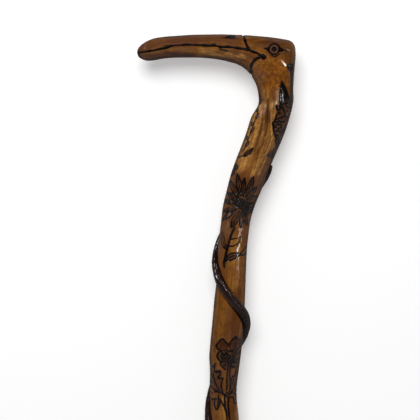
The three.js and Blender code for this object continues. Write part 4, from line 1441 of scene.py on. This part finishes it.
def wear_effect():
    """Handling wear on metal, horn and rubber: scuffed patches, fine scratches and specks."""
    group, given, out = effect_group("wear", {"Place": None}, ("Patches", "Scratches", "Specks"))
    place = given["Place"]
    stretched = mapped(group, place, Rotation=(0.3, 0.5, 0.2), Scale=(1, 1, 0.08))
    join(group, eased(group, noise(group, place, 160.0, 5.0, 0.6), 0.4, 0.66), out["Patches"])
    join(group, eased(group, noise(group, stretched, 1800.0, 3.0, 0.5), 0.56, 0.7), out["Scratches"])
    join(group, eased(group, noise(group, place, 2200.0, 2.0, 0.5), 0.6, 0.68), out["Specks"])
    return group


GRAIN = grain_effect()
WEAR = wear_effect()


def effect(tree, group, **inputs):
    made = add(tree, "ShaderNodeGroup", node_tree=group)
    for key, value in inputs.items():
        join(tree, value, made.inputs[key.replace("_", " ")])
    return made.outputs


def finish(name, build, **constants):
    """A material: build adds its nodes and returns what feeds the shader, and constants are set on that."""
    material = bpy.data.materials.new(name)
    tree = cleared(material)
    shader = add(tree, "ShaderNodeBsdfPrincipled")
    output = add(tree, "ShaderNodeOutputMaterial")
    tree.links.new(shader.outputs[0], output.inputs["Surface"])
    for key, value in constants.items():
        shader.inputs[key.replace("_", " ")].default_value = value
    for key, value in build(tree).items():
        join(tree, value, shader.inputs[key])
    return material


def wood_tone_and_reflection(tree, place, grain):
    """The wood's tone: heartwood and paler wood, with a painted reflection low on the shaft, the cheek's
    golden wood, and the grain over them.
    """
    mottled = eased(tree, noise(tree, place, 300.0, 5.0, 0.6), 0.3, 0.72)
    tone = blended(tree, eased(tree, grain["Tone"], 0.36, 0.64), colour(114, 64, 22), colour(144, 92, 30))
    heartwood = eased(tree, noise(tree, place, 26.0, 3.0), 0.46, 0.66, 0.0, 0.5)
    tone = tinted(tree, tone, calc(tree, "ADD", carried(tree, "ruddy"), heartwood, clamp=True), 104, 63, 39)
    # The paler tone also carries the painted reflection low on the shaft.
    pale = times(tree, carried(tree, "pale"), eased(tree, mottled, 0, 1, 0.55, 1.0))
    tone = tinted(tree, tone, pale, 216, 155, 78)
    on_cheek = carried(tree, "cheek")
    clouds = eased(tree, noise(tree, place, 430.0, 4.0, 0.65, 0.5), 0.38, 0.62)
    golden = blended(tree, clouds, colour(118, 66, 14), colour(166, 102, 26))
    tone = blended(tree, times(tree, on_cheek, eased(tree, mottled, 0, 1, 1.0, 0.4)), tone, golden)
    patches = eased(tree, noise(tree, place, 170.0, 4.0, 0.6, 0.7), 0.46, 0.66, 0.0, 0.5)
    tone = tinted(tree, tone, times(tree, patches, eased(tree, pale, 0, 1, 1.0, 0.4)), 88, 47, 12)
    tone = tinted(tree, tone, times(tree, eased(tree, grain["Lines"], 0.6, 1.0), 0.4), 84, 46, 18)
    smooth = eased(tree, on_cheek, 0, 1, 1.0, 0.45)
    for part, strength, screen_colour in (("Streaks", 0.55, (86, 48, 20)), ("Fibres", 0.5, (84, 46, 20))):
        share = times(tree, eased(tree, grain[part], 0.46, 0.66), times(tree, smooth, strength))
        tone = tinted(tree, tone, share, *screen_colour)
    tone = tinted(tree, tone, times(tree, grain["Pores"], 0.4), 48, 26, 13)
    flecks = eased(tree, noise(tree, place, 900.0, 3.0, 0.6, 0.8), 0.52, 0.7)
    tone = tinted(tree, tone, times(tree, flecks, 0.3), 70, 38, 18)
    tone = tinted(tree, tone, carried(tree, "stain"), 52, 27, 12)
    return tinted(tree, tone, times(tree, carried(tree, "petal"), eased(tree, mottled, 0, 1, 0.75, 1.0)),
                  60, 28, 16)


def varnished_wood(tree):
    """Carved wood with its shaded leaves, scorched and burned lines, painted shadow along the vine's groove,
    and an uneven varnish over all of it.
    """
    place = carried(tree, "grain_place", "Vector")
    grain = effect(tree, GRAIN, Place=place, Line_Width=0.0032, Waviness=5.0)
    tone = wood_tone_and_reflection(tree, place, grain)
    hatch = add(tree, "ShaderNodeTexWave", {
        "Vector": carried(tree, "sheet_place", "Vector"), "Scale": 330.0, "Distortion": 6.0, "Detail": 2.0,
        "Detail Scale": 1.5,
    }, bands_direction="DIAGONAL").outputs["Fac"]
    hatched = eased(tree, hatch, 0.2, 0.8, 0.7, 1.0)
    shade = calc(tree, "MULTIPLY", carried(tree, "shade"), hatched, clamp=True)
    tone = tinted(tree, tone, shade, 42, 27, 24)
    # Painted shadow: the wood is darkened inside the vine's groove and within 0.9 mm of it, where the vine's
    # shadow falls.
    tone = tinted(tree, tone, eased(tree, carried(tree, "groove_gap"), 0.0, 0.9 * MM, 0.8, 0.0), 34, 18, 10)
    tone = tinted(tree, tone, carried(tree, "ink"), 17, 10, 9)
    ragged = times(tree, calc(tree, "SUBTRACT", noise(tree, place, 1100.0, 3.0), 0.5), 0.9 * MM)
    gap = calc(tree, "ADD", carried(tree, "burn_gap"), ragged)
    tone = tinted(tree, tone, eased(tree, gap, 0.0, 0.8 * MM, 0.5, 0.0), 60, 32, 15)
    burn = eased(tree, gap, 0.0, 0.3 * MM, 1.0, 0.0)
    tone = tinted(tree, tone, burn, 12, 7, 5)
    burned = calc(tree, "ADD", burn, times(tree, shade, 0.6), clamp=True)
    blisters = times(tree, noise(tree, place, 520.0, 1.0), times(tree, burned, 3.0))
    scraped = calc(tree, "ADD", times(tree, grain["Fibres"], -0.5), times(tree, shade, -0.6))
    relief = bumped(tree, calc(tree, "ADD", scraped, blisters), 0.1 * MM, 0.5)
    drawn_out = mapped(tree, place, Scale=(1, 1, 0.4))
    waves = noise(tree, drawn_out, 130.0, 3.0)
    ripples = bumped(tree, noise(tree, drawn_out, 420.0, 2.0), 0.45 * MM, 0.8, relief)
    roughness = times(tree, eased(tree, waves, 0.3, 0.7, 0.1, 0.17), eased(tree, burned, 0, 1, 1.0, 0.6))
    return {"Base Color": tone, "Roughness": roughness, "Normal": bumped(tree, waves, 1.0 * MM, 0.6, ripples)}


def dark_bark(tree):
    """Dark stained bark under varnish."""
    place = carried(tree, "grain_place", "Vector")
    grain = effect(tree, GRAIN, Place=place, Line_Width=0.0016, Waviness=3.0)
    tone = blended(tree, eased(tree, grain["Tone"], 0.35, 0.7), colour(20, 8, 7), colour(56, 27, 21))
    tone = tinted(tree, tone, times(tree, eased(tree, grain["Fibres"], 0.45, 0.7), 0.6), 13, 7, 6)
    tone = tinted(tree, tone, times(tree, grain["Pores"], 0.4), 74, 48, 38)
    ridges = calc(tree, "ADD", grain["Fibres"], times(tree, grain["Lines"], 0.4))
    ripples = bumped(tree, noise(tree, place, 420.0, 2.0), 0.6 * MM, 0.8)
    return {"Base Color": tone, "Roughness": eased(tree, grain["Tone"], 0.3, 0.7, 0.11, 0.2),
            "Normal": bumped(tree, ridges, 0.2 * MM, 0.7, ripples)}


def polished_horn(tree):
    """Clouded horn with a painted highlight: a paler band on the crest towards its rim. It is dark round the
    bead.
    """
    place = object_place(tree)
    wear = effect(tree, WEAR, Place=place)
    share = carried(tree, "ring_share")
    clouds = eased(tree, noise(tree, place, 700.0, 4.0, 0.6, 0.6), 0.35, 0.65)
    tone = blended(tree, clouds, colour(44, 24, 15), colour(84, 50, 30))
    # Painted highlight: the paler band on the ring's crest stands in for the light that the crest catches.
    band = times(tree, eased(tree, share, 0.66, 0.78), eased(tree, share, 0.84, 0.95, 1.0, 0.0))
    tone = tinted(tree, tone, times(tree, band, 0.8), 112, 76, 58)
    tone = tinted(tree, tone, eased(tree, share, 0.58, 0.66, 0.8, 0.0), 20, 11, 7)
    return {"Base Color": tone, "Roughness": eased(tree, wear["Patches"], 0, 1, 0.22, 0.38),
            "Normal": bumped(tree, wear["Scratches"], 0.05 * MM, 0.3)}


def black_bead(tree):
    wear = effect(tree, WEAR, Place=object_place(tree))
    tone = blended(tree, wear["Patches"], colour(16, 11, 10), colour(30, 20, 17))
    return {"Base Color": tone, "Roughness": eased(tree, wear["Scratches"], 0, 1, 0.14, 0.3)}


def worn_metal(clean, tarnished, marks, roughness, metallic):
    """A metal's build. Each mark is a part of the wear, how strongly it shows and its colour."""
    def build(tree):
        wear = effect(tree, WEAR, Place=object_place(tree))
        tone = blended(tree, wear["Patches"], colour(*clean), colour(*tarnished))
        for part, strength, screen_colour in marks:
            tone = tinted(tree, tone, times(tree, wear[part], strength), *screen_colour)
        return {"Base Color": tone, "Roughness": eased(tree, wear["Patches"], 0, 1, *roughness),
                "Metallic": eased(tree, wear["Patches"], 0, 1, *metallic),
                "Normal": bumped(tree, wear["Scratches"], 0.06 * MM, 0.4)}

    return build


def moulded_rubber(tree):
    """Matt rubber, scuffed and specked, with dust towards the floor."""
    place = object_place(tree)
    wear = effect(tree, WEAR, Place=place)
    tone = blended(tree, times(tree, wear["Patches"], 0.7), colour(34, 33, 33), colour(58, 55, 52))
    height = add(tree, "ShaderNodeSeparateXYZ", {0: place}).outputs[2]
    tone = tinted(tree, tone, times(tree, eased(tree, height, 0, 9 * MM, 0.6, 0.0), wear["Patches"]),
                  118, 108, 94)
    tone = tinted(tree, tone, times(tree, wear["Specks"], 0.4), 96, 90, 82)
    return {"Base Color": tone, "Roughness": eased(tree, wear["Patches"], 0, 1, 0.62, 0.85),
            "Normal": bumped(tree, calc(tree, "ADD", wear["Specks"], wear["Scratches"]), 0.1 * MM, 0.4)}


worn_brass = worn_metal(
    (190, 150, 82), (128, 92, 46), [("Scratches", 0.5, (214, 184, 124)), ("Specks", 0.6, (70, 52, 32))],
    roughness=(0.24, 0.5), metallic=(0.7, 0.3))
dull_steel = worn_metal(
    (150, 148, 144), (104, 98, 92), [("Specks", 0.7, (80, 58, 44))], roughness=(0.3, 0.55),
    metallic=(0.8, 0.4))
FINISHES = {
    "wood": finish("varnished_wood", varnished_wood, Specular_IOR_Level=0.5),
    "vine": finish("dark_bark", dark_bark, Specular_IOR_Level=0.5),
    "horn": finish("polished_horn", polished_horn, Specular_IOR_Level=0.5),
    "pupil": finish("black_bead", black_bead, Specular_IOR_Level=0.5),
    "brass": finish("worn_brass", worn_brass),
    "steel": finish("dull_steel", dull_steel),
    "rubber": finish("moulded_rubber", moulded_rubber),
}

# The stick

make_wood()
make_vine()
make_eyes()
make_ferrule()
make_rubber_tip()
for number in range(1, 7):
    make_nail(f"vine_brad_{number}", f"vine_pin_{number}", "steel", direction=1, shank=0.75 * MM)
for side, direction in (("front", -1), ("back", 1)):
    make_nail(f"ferrule_nail_{side}", f"ferrule_pin_{side}", "brass", direction, shank=0.8 * MM)
for node in ("ferrule_plug", "tip_washer"):
    for material_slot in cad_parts[node].material_slots:
        material_slot.material = FINISHES["steel"]

# The floor, the white sheet behind the stick, the light and the camera

SHEET_BEHIND = 26 * MM
ROOM_SHEEN = 0.04
ROOM_SHEEN_BEHIND = 0.6
ROOM_LIGHT = 0.25
PAPER_GLOW = 0.3
FAR_FLOOR_GLOW = 0.3
RIM_CLEARANCE = 0.05
GREY = (0.15, 0.15, 0.15, 1)
WHITE = (0.9, 0.9, 0.9, 1)


def seen_as_white(tree, rays, sheen):
    """1 where a camera or glass shows the backdrop, and as much as sheen where a gloss mirrors it."""
    seen = calc(tree, "MAXIMUM", rays["Is Camera Ray"], rays["Is Transmission Ray"])
    return calc(tree, "MAXIMUM", seen, times(tree, rays["Is Glossy Ray"], sheen))


def make_room():
    """A white room that looks dim in the varnish in front of the stick, so that the wood keeps its depth."""
    world = bpy.data.worlds.new("studio")
    bpy.context.scene.world = world
    tree = cleared(world)
    rays = add(tree, "ShaderNodeLightPath").outputs
    direction = add(tree, "ShaderNodeTexCoord").outputs["Generated"]
    backward = add(tree, "ShaderNodeSeparateXYZ", {0: direction}).outputs[1]
    seen = seen_as_white(tree, rays, eased(tree, backward, 0.2, 0.7, ROOM_SHEEN, ROOM_SHEEN_BEHIND))
    strength = calc(tree, "MAXIMUM", seen, times(tree, rays["Is Diffuse Ray"], ROOM_LIGHT))
    background = add(tree, "ShaderNodeBackground", {"Color": (1, 1, 1, 1), "Strength": strength})
    output = add(tree, "ShaderNodeOutputWorld")
    tree.links.new(background.outputs[0], output.inputs[0])


def stage_material(name, middle, near, far, sheen, one_sided):
    """White that keeps the stick's shadow near a middle point, and runs out into plain white further off.

    What is one-sided runs out into nothing instead, and shows only its front.
    """
    material = bpy.data.materials.new(name)
    tree = cleared(material)
    output = add(tree, "ShaderNodeOutputMaterial")
    rays = add(tree, "ShaderNodeLightPath").outputs
    clear_of_rim = eased(tree, rays["Ray Length"], RIM_CLEARANCE, 3 * RIM_CLEARANCE, 0.0, sheen)
    seen = seen_as_white(tree, rays, clear_of_rim)
    white = add(tree, "ShaderNodeBsdfDiffuse", {"Color": blended(tree, seen, GREY, WHITE)}).outputs[0]
    glow = add(tree, "ShaderNodeEmission", {"Strength": times(tree, seen, PAPER_GLOW)}).outputs[0]
    surface = add(tree, "ShaderNodeAddShader", {0: white, 1: glow}).outputs[0]
    away = add(tree, "ShaderNodeVectorMath", {0: object_place(tree), 1: middle}, operation="DISTANCE")
    gone = add(tree, "ShaderNodeBsdfTransparent").outputs[0]
    plain_glow = eased(tree, seen, 0, 1, FAR_FLOOR_GLOW, 1.0)
    plain = add(tree, "ShaderNodeEmission", {"Strength": plain_glow}).outputs[0]
    share = eased(tree, away.outputs["Value"], near, far)
    surface = add(tree, "ShaderNodeMixShader",
                  {0: share, 1: surface, 2: gone if one_sided else plain}).outputs[0]
    if one_sided:
        backfacing = add(tree, "ShaderNodeNewGeometry").outputs["Backfacing"]
        clear = calc(tree, "MAXIMUM", backfacing, rays["Is Shadow Ray"])
        surface = add(tree, "ShaderNodeMixShader", {0: clear, 1: surface, 2: gone}).outputs[0]
    tree.links.new(surface, output.inputs["Surface"])
    return material


def lay_white(name, half_size, material, place=None):
    """A square of the backdrop: flat at the stick's foot or, with a place, upright there."""
    shape = bmesh.new()
    bmesh.ops.create_grid(shape, x_segments=1, y_segments=1, size=half_size)
    if place is not None:
        upright = Matrix.Translation(place) @ Matrix.Rotation(math.radians(90), 4, "X")
        bmesh.ops.transform(shape, matrix=upright, verts=shape.verts[:])
    linked(shape, name, material)


# Small windows that only put gleams on the varnish, where the photograph shows them: name, place, what each
# points at, size, power and spread in degrees
LEAF = (0.0608, -0.0135, 0.8435)
CHEEK_EDGE = (0.058, -0.02, 0.871)
WINDOWS = (
    ("low_window", (0.123, -0.121, 0.713), (0.02, 0, 0.704), 0.018, 0.0017, 32),
    ("neck_window", (-0.195, -0.126, 0.974), (0.045, -0.012, 0.838), 0.016, 0.0002, 5),
    ("leaf_window_0", (0.14, -0.28, 0.93), LEAF, 0.01, 0.00008, 4),
    ("leaf_window_1", (0.104, -0.308, 0.88), LEAF, 0.01, 0.00008, 4),
    ("leaf_window_2", (0.075, -0.309, 0.896), LEAF, 0.01, 0.00008, 4),
    ("daisy_window", (0.012, -0.31, 0.772), (0.0262, -0.0125, 0.756), 0.012, 0.0001, 4),
    ("petal_window", (-0.185, -0.155, 0.73), (0.0155, -0.01, 0.751), 0.012, 0.0003, 14),
    ("vine_window", (0.14, -0.14, 0.93), (0.0178, -0.0175, 0.677), 0.035, 0.0007, 5),
    ("bend_window", (-0.045, -0.17, 0.944), (0.0048, -0.0103, 0.6955), 0.02, 0.00006, 3),
    ("high_window_0", (0.129, -0.093, 0.96), CHEEK_EDGE, 0.018, 0.00024, 10),
    ("high_window_1", (0.155, -0.092, 0.928), CHEEK_EDGE, 0.018, 0.00024, 10),
    ("high_window_2", (0.174, -0.072, 0.916), CHEEK_EDGE, 0.018, 0.00024, 10),
    ("left_window", (-0.45, -0.3, 1.2), (0.01, 0, 0.7), 0.07, 0.014, 20),
)


def add_lamp(name, place, target, size, power, spread=180, glossy=True, diffuse=True):
    """A round lamp. One that isn't glossy gives no reflection, and one that isn't diffuse only that."""
    lamp = bpy.data.lights.new(name, "AREA")
    lamp.shape = "DISK"
    lamp.size = size
    lamp.energy = power
    lamp.spread = math.radians(spread)
    holder = bpy.data.objects.new(name, lamp)
    holder.visible_glossy = glossy
    holder.visible_diffuse = diffuse
    holder.visible_camera = False
    holder.location = place
    holder.rotation_euler = (Vector(target) - Vector(place)).to_track_quat("-Z", "Y").to_euler()
    bpy.context.scene.collection.objects.link(holder)


def add_camera():
    camera = bpy.data.cameras.new("camera")
    camera.lens = CAMERA_LENS
    camera.sensor_width = SENSOR
    holder = bpy.data.objects.new("camera", camera)
    holder.location = (CAMERA_MIDDLE[0], -CAMERA_DISTANCE, CAMERA_MIDDLE[1])
    holder.rotation_euler = (math.radians(90), 0, 0)
    bpy.context.scene.collection.objects.link(holder)
    bpy.context.scene.camera = holder


make_room()
floor = stage_material("pale_floor", (0, 0, 0), near=0.4, far=1.3, sheen=0.1, one_sided=False)
lay_white("floor", 3.0, floor)
paper = stage_material(
    "white_paper", (0, SHEET_BEHIND, 0.72), near=0.4, far=0.66, sheen=0.4, one_sided=True)
lay_white("white_sheet", 0.7, paper, (0, SHEET_BEHIND, 0.7))
add_lamp("soft_overhead", (-0.2, -1.55, 1.42), (0, 0, 0.72), size=1.05, power=20.0, glossy=False)
for window in WINDOWS:
    add_lamp(*window, diffuse=False)
add_lamp("soft_behind", (0.75, 1.3, 1.25), (0, 0, 0.6), size=0.9, power=18.0)
add_camera()

bpy.context.scene.view_settings.view_transform = "Standard"
